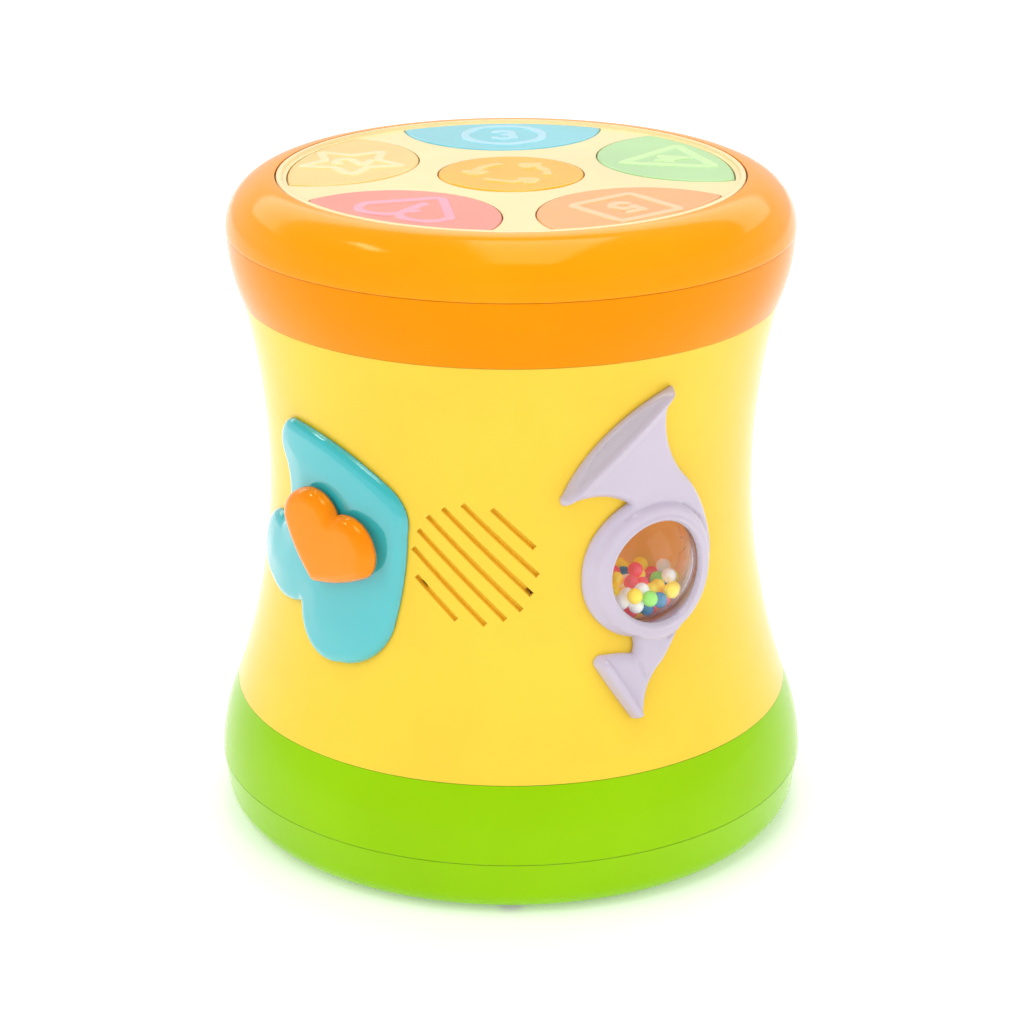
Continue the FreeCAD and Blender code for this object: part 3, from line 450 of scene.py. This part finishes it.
def rubber(name, colour):
    """Matt rubber or silicone with a fine grain."""
    made, tree, shader = new_material(name)
    drift = remap(tree, noise(tree, 60, 5), 0.35, 0.65, 0, 1)
    tint = mix_colour(tree, drift, shade(colour, 0.9), colour)
    tree.links.new(tint, shader.inputs["Base Color"])
    finish = remap(tree, noise(tree, 300, 4), 0.3, 0.7, 0.55, 0.8)
    tree.links.new(finish, shader.inputs["Roughness"])
    add_bump(tree, shader, noise(tree, 2200, 3), 0.3, 0.0003)
    return made


def cloth(name, colour, painted_glow):
    """Woven speaker cloth: two crossed sets of fine threads, with a painted glow in its own colour
    that lightens the shade in the slots.
    """
    made, tree, shader = new_material(name)
    place = tree.nodes.new("ShaderNodeTexCoord")
    threads = []
    for direction in ("X", "Z"):
        wave = node(tree, "ShaderNodeTexWave", Scale=420.0, Distortion=0.4)
        wave.bands_direction = direction
        tree.links.new(place.outputs["Object"], wave.inputs["Vector"])
        threads.append(wave.outputs["Fac"])
    weave = combine(tree, "MULTIPLY", *threads)
    tint = mix_colour(tree, weave, shade(colour, 0.8), colour)
    tree.links.new(tint, shader.inputs["Base Color"])
    add_bump(tree, shader, weave, 0.5, 0.0002)
    shader.inputs["Roughness"].default_value = 0.9
    # Painted glow: emission that lightens the cloth seen in the shaded slots.
    shader.inputs["Emission Color"].default_value = (*colour, 1)
    shader.inputs["Emission Strength"].default_value = painted_glow
    return made


def clear_plastic(name):
    """Clear moulded plastic with a faint haze and a few fine marks."""
    made, tree, shader = new_material(name)
    shader.inputs["Base Color"].default_value = (0.99, 0.99, 0.985, 1)
    haze = remap(tree, noise(tree, 120, 6), 0.45, 0.75, 0.01, 0.07)
    tree.links.new(haze, shader.inputs["Roughness"])
    add_bump(tree, shader, noise(tree, 500, 3), 0.02, 0.0004)
    shader.inputs["IOR"].default_value = 1.15
    shader.inputs["Coat Weight"].default_value = 0.5
    shader.inputs["Transmission Weight"].default_value = 1
    let_light_in(tree, shader)
    return made


def let_light_in(tree, glass):
    """Lets shadow and diffuse rays pass, so that things behind the clear wall are lit."""
    path = tree.nodes.new("ShaderNodeLightPath")
    either = combine(tree, "MAXIMUM", path.outputs["Is Shadow Ray"], path.outputs["Is Diffuse Ray"])
    passing = tree.nodes.new("ShaderNodeBsdfTransparent")
    mix = tree.nodes.new("ShaderNodeMixShader")
    tree.links.new(either, mix.inputs[0])
    tree.links.new(glass.outputs[0], mix.inputs[1])
    tree.links.new(passing.outputs[0], mix.inputs[2])
    tree.links.new(mix.outputs[0], tree.nodes["Material Output"].inputs["Surface"])


def frame_materials():
    """Gives every CAD node that is shown as it is the material of what it is made of."""
    yellow = plastic("yellow_shell", YELLOW, 0.16, 0.02, WARM_GLOSS, soft=0.05)
    orange = plastic("orange_shell", ORANGE, 0.15, 0.02, ORANGE_GLOSS, 0.3, soft=0.05)
    # The rim takes the lighter orange: painted light for the light falling on its top.
    rim_orange_lit = plastic("rim_orange_painted_light", ORANGE_PAINTED_LIGHT, 0.13, 0.02, WARM_GLOSS, 0.35, soft=0.05)
    green = plastic("green_shell", GREEN, 0.15, 0.02, GREEN_GLOSS, 0.3, soft=0.05)
    cream = plastic("cream_plate", CREAM, 0.2, 0.02, soft=0.05)
    white = plastic("white_plastic", (0.85, 0.85, 0.82), 0.4, 0.06)
    dark = plastic("dark_plastic", (0.03, 0.03, 0.035), 0.4, 0.06)
    # The cradle and the rear ball half carry a painted glow that lightens them in the shade inside
    # the drum.
    amber = plastic("amber_plastic", (0.90, 0.48, 0.13), 0.12, 0.03, painted_glow=0.16)
    steel = metal("zinc_steel", STEEL, 0.32)
    board = plastic("circuit_board", (0.02, 0.2, 0.06), 0.3, 0.12)
    key_domes = ["key_dome_%d" % number for number in range(1, PAD_COUNT + 1)]
    dressed = {
        yellow: ["front_shell", "rear_shell"],
        orange: ["drum_band"],
        rim_orange_lit: ["top_rim"],
        green: ["bottom_cover", "base_ring", "battery_door"],
        cream: ["top_plate"],
        white: ["deck_frame", "speaker_clamp", "spindle_bush", "battery_box", "wire_sockets",
                "pad_ribbon"],
        dark: ["sound_chip", "capacitors", "switch_body", "switch_knob"],
        amber: ["rattle_cradle", "ball_rear_half"],
        steel: ["deck_screws", "speaker_basket", "speaker_screws", "battery_contacts",
                "board_screws", "base_screws", "shell_screws", "door_screw", "spindle_washer",
                "spindle_screw"],
        board: ["pad_board", "main_board"],
        plastic("led_plastic", (0.9, 0.9, 0.8), 0.2, 0.02): ["pad_leds"],
        plastic("magnet_ceramic", (0.05, 0.05, 0.055), 0.7, 0.2): ["speaker_magnet"],
        plastic("cone_paper", (0.06, 0.055, 0.05), 0.8, 0.4): ["speaker_cone"],
        # The speaker cloth carries a painted glow that lightens the shaded slots.
        cloth("speaker_fabric", (1.0, 0.66, 0.04), 0.22): ["speaker_cloth"],
        plastic("cell_wrap", (0.12, 0.13, 0.16), 0.25, 0.02): ["battery_cells"],
        rubber("wire_jacket", (0.35, 0.02, 0.02)): ["speaker_wire"],
        rubber("foot_rubber", (0.78, 0.78, 0.74)): ["rubber_feet"],
        rubber("silicone", (0.85, 0.85, 0.82)): ["mode_dome"] + key_domes,
        clear_plastic("clear_plastic"): ["ball_front_half"],
    }
    for material, names in dressed.items():
        for name in names:
            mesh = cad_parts[name].data
            mesh.materials.clear()
            mesh.materials.append(material)


# ---- note, horn and heart -------------------------------------------------------------------


NOTE_OUTLINE = [
    (-10.8, 145.7), (10.8, 140.8), (25.5, 131.8), (30.2, 124.8), (30.5, 117.3), (29.6, 102.2),
    (27.7, 88.4), (23.4, 78.8), (10.5, 72.6), (-6.0, 77.8), (-9.6, 86.8), (-18.5, 84.9),
    (-28.5, 87.5), (-37.2, 98.0), (-21.8, 110.4), (-17.2, 121.6), (-18.9, 131.6), (-19.4, 141.6)]
HORN_OUTLINE = [
    (4, 163.8), (-15.4, 151.9), (-28.3, 132.4), (-28.7, 129.4), (-28.2, 128.8), (-18.4, 130.9),
    (-8, 127.3), (-19.5, 116.4), (-22.5, 104.3), (-18.6, 91.4), (-7.4, 84.5), (-7.1, 81.7),
    (-7.8, 79.4), (-11.7, 80.1), (-16.8, 80.3), (-20, 79.1), (-20.4, 77.3), (-15.4, 68.3),
    (-10.4, 59.9), (-8.6, 59.4), (-6, 62), (-3.2, 69.6), (2.3, 75.1), (6.3, 79.7), (9.9, 84.9),
    (21.9, 95.7), (24.9, 107.2), (21.4, 119.9), (11.8, 133.5), (4.3, 146.5), (2.6, 157.5),
    (4.3, 162.1)]
HEART_HALF = [(0, 9.6), (8.4, 12.8), (15.8, 9.2), (18.7, 4.2), (17.6, -2), (10.2, -9.2),
              (1.9, -14.6)]
HEART_TIP = (0, -15.3)
WINDOW_CENTRE, WINDOW_RADIUS, WINDOW_FOOT = (1.1, 104.5), 16.0, 3.7
NOTE_EDGE, NOTE_ROUNDING, NOTE_CROWN, SOFT_WIDTH = 0.7, 3.0, 0.9, 4.2
HORN_EDGE, HORN_ROUNDING, HORN_WIDTH = 0.9, 2.4, 2.6
RING_RADIUS, RING_WIDTH, RING_RISE, RIM_RISE, RIM_WIDTH = 18.6, 3.0, 1.9, 2.9, 2.4
CREASE_RISE, MOUTH_RECESS, CONE_RISE, BAR_RISE = 1.7, 1.1, 0.9, 1.5
TUBE_GROOVE_RADIUS, GROOVE_WIDTH, STEM_GROOVE, TUBE_GROOVE = 21.7, 0.5, 0.6, 0.7
MOUTH_LINE = ((-26.0, 133.0), (1.0, 159.8))
MOUTHPIECE_LINE = ((-18.8, 82.5), (-8.1, 62.8))
STEM_LINE = ((-4.3, 70.7), (-7.2, 80.0))


def make_note():
    """The turquoise note: a soft pillow with a wide rounded border."""
    def height(flat, depth):
        crown = NOTE_CROWN * smooth_step(depth, 2, 12)
        return NOTE_EDGE + pillow(depth, NOTE_ROUNDING, SOFT_WIDTH) + crown
    material = plastic("turquoise_plaque", TURQUOISE, 0.1, 0.02, shine=1.0, coat=0.7, soft=0.05)
    note = relief("note_plaque_shaped", arc_chain(NOTE_OUTLINE), wrapped(NOTE_AZIMUTH), height,
                  material, undercut=PLAQUE_UNDERCUT)
    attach(note, "drum")
    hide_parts("note_plaque")


def line_side(flat, start, end):
    """Signed distance from the line through two points; positive on its left."""
    way = np.array(end, float) - np.array(start)
    way /= np.linalg.norm(way)
    offset = flat - np.array(start)
    return way[0] * offset[:, 1] - way[1] * offset[:, 0]


def bell_mouth(flat):
    """The distance past the bell's mouth line, and which points belong to the bell."""
    bell = (flat[:, 1] > 128) & (flat[:, 0] < 12)
    return line_side(flat, *MOUTH_LINE), bell


def mouth_shade_mask(flat):
    """1 on the recessed face of the bell's mouth, which takes painted shade."""
    mouth, bell = bell_mouth(flat)
    return np.where(bell, smooth_step(mouth, 0.0, 1.2), 0)


def horn_height(flat, depth):
    """Bell, ring, stem and mouthpiece as one moulded relief."""
    body = HORN_EDGE + pillow(depth, HORN_ROUNDING, HORN_WIDTH)
    reach = np.linalg.norm(flat - WINDOW_CENTRE, axis=1)
    ring = RING_RISE * np.sqrt(np.clip(1 - ((reach - RING_RADIUS) / RING_WIDTH) ** 2, 0, 1))
    rim = RIM_RISE * (1 - smooth_step(reach - WINDOW_RADIUS, 0, RIM_WIDTH))
    mouth, bell = bell_mouth(flat)
    crease = np.where(bell, CREASE_RISE * np.exp(-abs(mouth) / 3.0), 0)
    slope = np.where(bell & (mouth > 0), -0.25 * mouth, 0)
    recess = MOUTH_RECESS * smooth_step(mouth, 0.2, 1.3) * smooth_step(depth, 0.9, 2.0)
    slope -= np.where(bell, recess, 0)
    cone = np.where(bell & (mouth <= 0), CONE_RISE * np.exp(mouth / 12), 0)
    cup = (flat[:, 1] < 84) & (flat[:, 0] < 8)
    bar = np.where(cup, BAR_RISE * smooth_step(-line_side(flat, *MOUTHPIECE_LINE), -0.4, 0.4), 0)
    stem = line_side(flat, *STEM_LINE)
    groove = np.where(cup, -STEM_GROOVE * np.exp(-(stem / GROOVE_WIDTH) ** 2), 0)
    outer_tube = (reach > 20.5) & (flat[:, 0] > 4) & (flat[:, 1] < 124)
    tube = (reach - TUBE_GROOVE_RADIUS) / GROOVE_WIDTH
    groove += np.where(outer_tube, -TUBE_GROOVE * np.exp(-tube ** 2), 0)
    inner = smooth_step(depth, 0, 1.8)
    return body + rim + inner * (np.maximum.reduce([ring, crease, cone, bar]) + slope + groove)


def make_horn():
    """The lavender horn with its raised ring round the rattle window."""
    outline = arc_chain(HORN_OUTLINE)
    hole = arc(WINDOW_CENTRE, WINDOW_RADIUS, 0, 360, 0.4)[:-1]
    # The horn's second colour is painted shade on the bell's mouth face.
    material = plastic("lavender_plaque", LAVENDER, 0.14, 0.02, shine=0.7, coat=0.3, soft=0.05,
                       icon_and_shade_colour=MOUTH_PAINTED_SHADE)
    horn = relief("horn_plaque_shaped", outline, wrapped(HORN_AZIMUTH), horn_height, material, 0.6,
                  hole=hole, hole_base=WINDOW_FOOT, undercut=PLAQUE_UNDERCUT, mask=mouth_shade_mask)
    lining = window_lining(material)
    for piece in (horn, lining):
        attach(piece, "drum")
        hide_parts("horn_plaque")


def window_lining(material):
    """The ring's inner wall, which runs on round the rattle ball as a collar."""
    count = COLLAR_SEGMENTS
    side, up, out = wall_frame(BALL_AZIMUTH)
    edge = arc(WINDOW_CENTRE, WINDOW_RADIUS, 0, 360, math.tau * WINDOW_RADIUS / count)[:count]
    turns = np.radians(np.arange(count) * 360 / count)[:, None]
    across = np.cos(turns) * side + np.sin(turns) * up
    centre = BALL_HEIGHT * up + BALL_DEPTH * out
    vertices = list(wrapped(HORN_AZIMUTH)(edge, np.full(count, WINDOW_FOOT)))
    for polar in np.radians(COLLAR_ANGLES):
        way = across * math.sin(polar) + out * math.cos(polar)
        vertices += list((centre + COLLAR_RADIUS * way) * MM)
    faces = []
    for row in range(len(COLLAR_ANGLES)):
        for i in range(count):
            after = (i + 1) % count
            faces.append([row * count + i, row * count + after, (row + 1) * count + after,
                          (row + 1) * count + i])
    return new_object("horn_plaque_lining", vertices, faces, material)


def make_heart():
    """The orange heart: a thick pillow that stands clear of the note on its shaft."""
    mirrored = [(-x, y) for x, y in reversed(HEART_HALF[1:])]
    outline = arc_chain(HEART_HALF + [HEART_TIP] + mirrored)

    def height(flat, depth):
        edge = HEART_THICKNESS - HEART_ROUNDING - HEART_CROWN
        crown = HEART_CROWN * smooth_step(depth, 3, 8)
        return edge + pillow(depth, HEART_ROUNDING, SOFT_WIDTH) + crown
    material = plastic("heart_plastic", HEART, 0.12, 0.02, ORANGE_GLOSS, 0.8, coat=0.2, soft=0.05)
    place = standing(HEART_AZIMUTH, HEART_HEIGHT, HEART_BACK, HEART_TILT)
    heart = relief("heart_knob_shaped", outline, place, height, material)
    back = relief("heart_back", outline, place, lambda flat, depth: 0.02 + 0 * depth, material)
    shaft = cylinder("heart_shaft", SHAFT_RADIUS, SHAFT_START, HEART_BACK + 0.5, HEART_AZIMUTH,
                     HEART_HEIGHT, material)
    for piece in (heart, back, shaft):
        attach(piece, "heart_spinner")
        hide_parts("heart_knob")


def cylinder(name, radius, start, end, azimuth, height, material):
    """A round bar that runs outward through the wall between two depths."""
    side, up, out = wall_frame(azimuth)
    angles = np.radians(np.arange(0, 360, 7.5))
    rim = radius * (np.cos(angles)[:, None] * side + np.sin(angles)[:, None] * up)
    centre = np.array([0, 0, height])
    vertices = np.concatenate([rim + centre + start * out, rim + centre + end * out]) * MM
    count = len(angles)
    faces = [[i, (i + 1) % count, (i + 1) % count + count, i + count] for i in range(count)]
    faces += [list(range(count))[::-1], list(range(count, 2 * count))]
    return new_object(name, vertices, faces, material, smooth=False)


# ---- number pads ----------------------------------------------------------------------------


def petal_outline(spread):
    """One petal about the axis, pointing along +x, with rounded corners."""
    leaf, edge, fillet = PETAL_RADIUS + spread, PAD_EDGE_RADIUS + spread, PETAL_FILLET
    x = ((edge - fillet) ** 2 - (leaf - fillet) ** 2 + PETAL_DISTANCE ** 2) / (2 * PETAL_DISTANCE)
    y = math.sqrt((edge - fillet) ** 2 - x * x)
    outer = math.degrees(math.atan2(y, x))
    inner = math.degrees(math.atan2(y, x - PETAL_DISTANCE))
    parts = [arc((0, 0), edge, -outer, outer), arc((x, y), fillet, outer, inner),
             arc((PETAL_DISTANCE, 0), leaf, inner, 360 - inner),
             arc((x, -y), fillet, -inner, -outer)]
    return np.concatenate([part[:-1] for part in parts])


def bend(cx, cy, rx, ry, start, end, count=24):
    """Points along part of an ellipse."""
    angles = np.radians(np.linspace(start, end, count))
    return [(cx + rx * math.cos(a), cy + ry * math.sin(a)) for a in angles]


DIGIT_SCALE = 1.1
DIGITS = {
    1: [[(-2.3, 2.6), (0.3, 4.7), (0.3, -4.7)]],
    2: [bend(0, 1.9, 2.9, 2.8, 160, -25) + [(-2.8, -4.7), (3.0, -4.7)]],
    3: [bend(-0.2, 2.35, 2.7, 2.35, 150, -80) + bend(-0.2, -2.35, 3.0, 2.45, 80, -150)],
    4: [[(1.3, -4.7), (1.3, 4.7), (-3.2, -1.7), (3.3, -1.7)]],
    5: [[(2.6, 4.7), (-2.1, 4.7), (-2.4, 0.5)] + bend(-0.2, -1.6, 2.9, 3.0, 135, -150)],
}


def polygon(count, radius, first, inner=None, corner=2.5):
    """A regular polygon, or a star when an inner radius is given, with rounded corners."""
    steps = count * (2 if inner else 1)
    points = []
    for i in range(steps):
        reach = inner if inner and i % 2 else radius
        angle = math.radians(first + i * 360 / steps)
        points.append(np.array([reach * math.cos(angle), reach * math.sin(angle)]))
    line = []
    for before, point, after in zip(points[-1:] + points[:-1], points, points[1:] + points[:1]):
        start = point + (before - point) * corner / np.linalg.norm(before - point)
        end = point + (after - point) * corner / np.linalg.norm(after - point)
        for share in np.linspace(0, 1, 5):
            way = (1 - share) ** 2 * start + 2 * share * (1 - share) * point + share ** 2 * end
            line.append(tuple(way))
    return line + line[:1]


def heart_line():
    """The heart drawn on the first pad, with a rounded tip."""
    tip = [(3.2, -10.8), (1.4, -12.8), (0, -13.3)]
    right = [(0, 7.2)] + bend(7.6, 5.4, 7.9, 6.8, 150, -20, 20) + tip
    left = [(-x, y) for x, y in reversed(right)]
    return right + left[1:]


# Each pad's outline drawing, and how far out from the drum's axis it is centred.
ICONS = {
    1: ([heart_line()], 52.5),
    2: ([polygon(5, 17.2, -90, 8.6)], 52.6),
    3: ([bend(0, 0, 12.8, 12.8, 0, 360, 90)], 51.8),
    4: ([polygon(3, 17.6, -90)], 54.8),
    5: ([polygon(4, 16.6, 45)], 55),
}


def stroke_mask(flat, strokes, width):
    """1 inside any stroke, 0 outside, with a short slope between; also the distance to it."""
    reach = np.full(len(flat), 1e9)
    for stroke in strokes:
        reach = np.minimum(reach, distance_to(flat, np.array(stroke, float), closed=False))
    return smooth_step(width / 2 - reach, -0.22, 0.22), reach


def pad_relief(name, outline, strokes, width, material):
    """A pad's face with its drawing raised a little, which also takes the second colour."""
    fine = grid_in(outline, 0.34)
    _, reach = stroke_mask(fine, strokes, width)
    fine = fine[abs(reach - width / 2) < 0.6]

    def raised(flat):
        return stroke_mask(flat, strokes, width)[0]

    def height(flat, depth):
        past = np.clip(PAD_ROUNDING - depth, 0, PAD_ROUNDING)
        round_edge = PAD_ROUNDING - np.sqrt(np.maximum(PAD_ROUNDING ** 2 - past ** 2, 0))
        return ICON_RISE * raised(flat) - round_edge
    return relief(name, outline, lying(PAD_TOP), height, material, 1.4, fine,
                  base=FLANGE_TOP - PAD_TOP, mask=raised, depths=(0.05, 0.2, 0.45, 0.8, 1.3))


def turned_about(points, angle, distance):
    """Moves a drawing out along an angle with its top pointing outward."""
    turn = math.radians(angle)
    out = np.array([math.cos(turn), math.sin(turn)])
    across = np.array([math.sin(turn), -math.cos(turn)])
    return [tuple(x * across + (distance + y) * out) for x, y in points]


def rotate_flat(outline, angle):
    """Turns an outline about the drum's axis."""
    turn = math.radians(angle)
    matrix = np.array([[math.cos(turn), -math.sin(turn)], [math.sin(turn), math.cos(turn)]])
    return outline @ matrix.T


def make_number_pad(number):
    """One petal key: its face with the drawing and digit, and the flange that holds it in."""
    angle = FIRST_PAD_ANGLE - PAD_STEP_ANGLE * (number - 1)
    frame_lines, distance = ICONS[number]
    digit = [[(x * DIGIT_SCALE, y * DIGIT_SCALE) for x, y in line] for line in DIGITS[number]]
    strokes = [turned_about(line, angle, distance) for line in frame_lines + digit]
    colour = PAD_COLOURS[number - 1]
    name = PAD_NAMES[number - 1]
    material = plastic(name, colour, 0.22, 0.02, soft=0.05, icon_and_shade_colour=ICON_COLOURS[number - 1])
    face = pad_relief("number_pad_%d_face" % number, rotate_flat(petal_outline(-PAD_GAP), angle),
                      strokes, PAD_STROKE, material)
    flange = relief("number_pad_%d_flange" % number,
                    rotate_flat(petal_outline(FLANGE_SPREAD), angle), lying(FLANGE_TOP),
                    lambda flat, depth: 0 * depth, material, 3,
                    base=FLANGE_BOTTOM - FLANGE_TOP, depths=(0.5,))
    for piece in (face, flange):
        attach(piece, "pad_%d" % number)
        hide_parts("number_pad_%d" % number)


def mode_arrows():
    """Three arcs that chase each other, each with a solid arrowhead."""
    def spot(reach, angle):
        return (reach * math.cos(math.radians(angle)), reach * math.sin(math.radians(angle)))
    strokes = []
    for start in ARROW_STARTS:
        strokes.append(bend(0, 0, ARROW_RADIUS, ARROW_RADIUS, start, start + ARROW_SWEEP))
        tip = spot(ARROW_RADIUS, start + HEAD_END)
        inner = spot(ARROW_INNER, start + HEAD_START)
        outer = spot(ARROW_OUTER, start + HEAD_START)
        strokes.append([tip, inner, outer, tip])
    return strokes


def make_mode_pad():
    """The round middle key with its three arrows."""
    material = plastic("mode_pad_plastic", MODE_COLOUR, 0.2, 0.02, soft=0.05, icon_and_shade_colour=MODE_ICON)
    outline = arc((0, 0), MODE_PAD_RADIUS, 0, 360)[:-1]
    face = pad_relief("mode_pad_face", outline, mode_arrows(), MODE_STROKE, material)
    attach(face, "mode_pad")
    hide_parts("mode_pad")


# ---- rattle beads ---------------------------------------------------------------------------


def settled_beads(count, reach):
    """Bead centres packed low in a round ball, by pushing overlaps apart while they sink."""
    chance = np.random.default_rng(7)
    spots = chance.normal(size=(count, 3)) * reach * START_SPREAD
    spots[:, 1] -= reach * START_DROP
    for step in range(SINK_STEPS + REST_STEPS):
        spots[:, 1] -= SINK_PER_STEP if step < SINK_STEPS else 0.0
        gap = spots[:, None] - spots[None]
        length = np.linalg.norm(gap, axis=-1) + np.eye(count) * 1e3
        overlap = np.clip(2 * BEAD_RADIUS - length, 0, None)
        spots += PUSH_SHARE * (gap / length[..., None] * overlap[..., None]).sum(1)
        far = np.linalg.norm(spots, axis=1)
        spots *= np.minimum(1, (reach - BEAD_RADIUS) / np.maximum(far, 1e-6))[:, None]
    return spots


def make_beads():
    """Loose beads of five colours, resting in the lower part of the ball."""
    side, up, out = wall_frame(BALL_AZIMUTH)
    centre = BALL_HEIGHT * up + BALL_DEPTH * out
    spots = settled_beads(BEAD_COUNT, BALL_INNER_RADIUS - 0.1)
    order = np.random.default_rng(3).choice(len(BEAD_COLOURS), len(spots), p=BEAD_SHARES)
    for number, colour in enumerate(BEAD_COLOURS):
        # Each bead colour carries a painted glow that lightens the beads in the shade inside the
        # ball.
        material = plastic("bead_%d" % number, colour, 0.12, 0.02, soft=0.05, painted_glow=0.14)
        vertices, faces = [], []
        for x, y, z in spots[order == number]:
            ball_vertices, ball_faces = sphere_mesh(centre + x * side + y * up + z * out, BEAD_RADIUS)
            faces += [[index + len(vertices) for index in face] for face in ball_faces]
            vertices += ball_vertices
        beads = new_object("rattle_beads_%d" % number, vertices, faces, material)
        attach(beads, "drum")
        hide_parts("rattle_beads")


def sphere_mesh(centre, radius, rings=12, segments=20):
    """The vertices and faces of a sphere with two poles."""
    vertices = [tuple((centre + np.array([0, 0, -radius])) * MM)]
    for ring in range(1, rings):
        polar = math.pi * ring / rings
        for segment in range(segments):
            turn = math.tau * segment / segments
            across = math.sin(polar)
            point = np.array([across * math.cos(turn), across * math.sin(turn), -math.cos(polar)])
            vertices.append(tuple((centre + radius * point) * MM))
    vertices.append(tuple((centre + np.array([0, 0, radius])) * MM))
    last = len(vertices) - 1
    faces = []
    for segment in range(segments):
        after = (segment + 1) % segments
        faces.append([0, 1 + after, 1 + segment])
        for ring in range(rings - 2):
            low, high = 1 + ring * segments, 1 + (ring + 1) * segments
            faces.append([low + segment, low + after, high + after, high + segment])
        top = 1 + (rings - 2) * segments
        faces.append([top + segment, top + after, last])
    return vertices, faces


# ---- stage ----------------------------------------------------------------------------------


# Name, place, target, size, power, and whether glossy surfaces mirror the lamp.
LIGHTS = [
    ("key", (-1.0, -0.9, 1.4), (0, 0, 0.1), (1.5, 1.5), 11.5, False),
    ("fill", (1.3, -0.7, 0.8), (0, 0, 0.1), (1.2, 1.2), 6, False),
    ("top", (0.1, 0.0, 1.45), (0, 0, 0.1), (1.5, 0.5), 7.5, True),
    ("top_left", (-0.85, 0.03, 1.4), (0, 0, 0.2), (0.35, 0.12), 1.3, True),
    ("backdrop", (0.0, 1.9, 1.3), (0, 1.9, 0), (4.5, 1.6), 30, True),
]
FLOOR_REACH, FLOOR_GLOW = 6, 0.22


def area_light(name, place, target, size, power, mirrored):
    """A rectangular soft light that points at a target."""
    light = bpy.data.lights.new(name, "AREA")
    light.shape = "RECTANGLE"
    light.size, light.size_y = size
    light.energy = power
    lamp = bpy.data.objects.new(name, light)
    lamp.visible_glossy = mirrored
    lamp.location = place
    lamp.rotation_euler = (Vector(target) - Vector(place)).to_track_quat("-Z", "Y").to_euler()
    bpy.context.collection.objects.link(lamp)


def make_stage():
    """A faintly lit white floor, pale surroundings, soft boxes and a light over the floor behind."""
    floor_material, tree, shader = new_material("studio_floor")
    tint = mix_colour(tree, noise(tree, 6, 3), (0.97, 0.97, 0.97), (0.99, 0.99, 0.99))
    tree.links.new(tint, shader.inputs["Base Color"])
    shader.inputs["Roughness"].default_value = 0.45
    shader.inputs["Emission Strength"].default_value = FLOOR_GLOW
    square = ((-1, -1), (1, -1), (1, 1), (-1, 1))
    corners = [(x * FLOOR_REACH, y * FLOOR_REACH, 0) for x, y in square]
    floor = new_object("studio_floor", corners, [[0, 1, 2, 3]], floor_material)
    make_surroundings()
    for light in LIGHTS:
        area_light(*light)


def make_surroundings():
    """A pale world that is brighter low down than overhead."""
    world = bpy.data.worlds.new("studio")
    world.use_nodes = True
    tree = world.node_tree
    place = tree.nodes.new("ShaderNodeTexCoord")
    split = tree.nodes.new("ShaderNodeSeparateXYZ")
    tree.links.new(place.outputs["Generated"], split.inputs[0])
    strength = remap(tree, split.outputs["Z"], 0.2, 0.5, 0.8, 0.38)
    tree.links.new(strength, tree.nodes["Background"].inputs["Strength"])
    tree.nodes["Background"].inputs["Color"].default_value = (1, 1, 1, 1)
    bpy.context.scene.world = world


def make_camera():
    """The camera at the viewing angle of the reference view."""
    camera = bpy.data.cameras.new("camera")
    camera.sensor_width = CAMERA_SENSOR
    camera.lens = CAMERA_LENS
    holder = bpy.data.objects.new("camera", camera)
    holder.location = CAMERA_PLACE
    holder.rotation_euler = (math.radians(90 - CAMERA_DOWN), 0, 0)
    bpy.context.collection.objects.link(holder)
    bpy.context.scene.camera = holder


frame_materials()
make_note()
make_horn()
make_heart()
for pad_number in range(1, PAD_COUNT + 1):
    make_number_pad(pad_number)
make_mode_pad()
make_beads()
make_stage()
make_camera()
bpy.context.scene.view_settings.view_transform = "Standard"
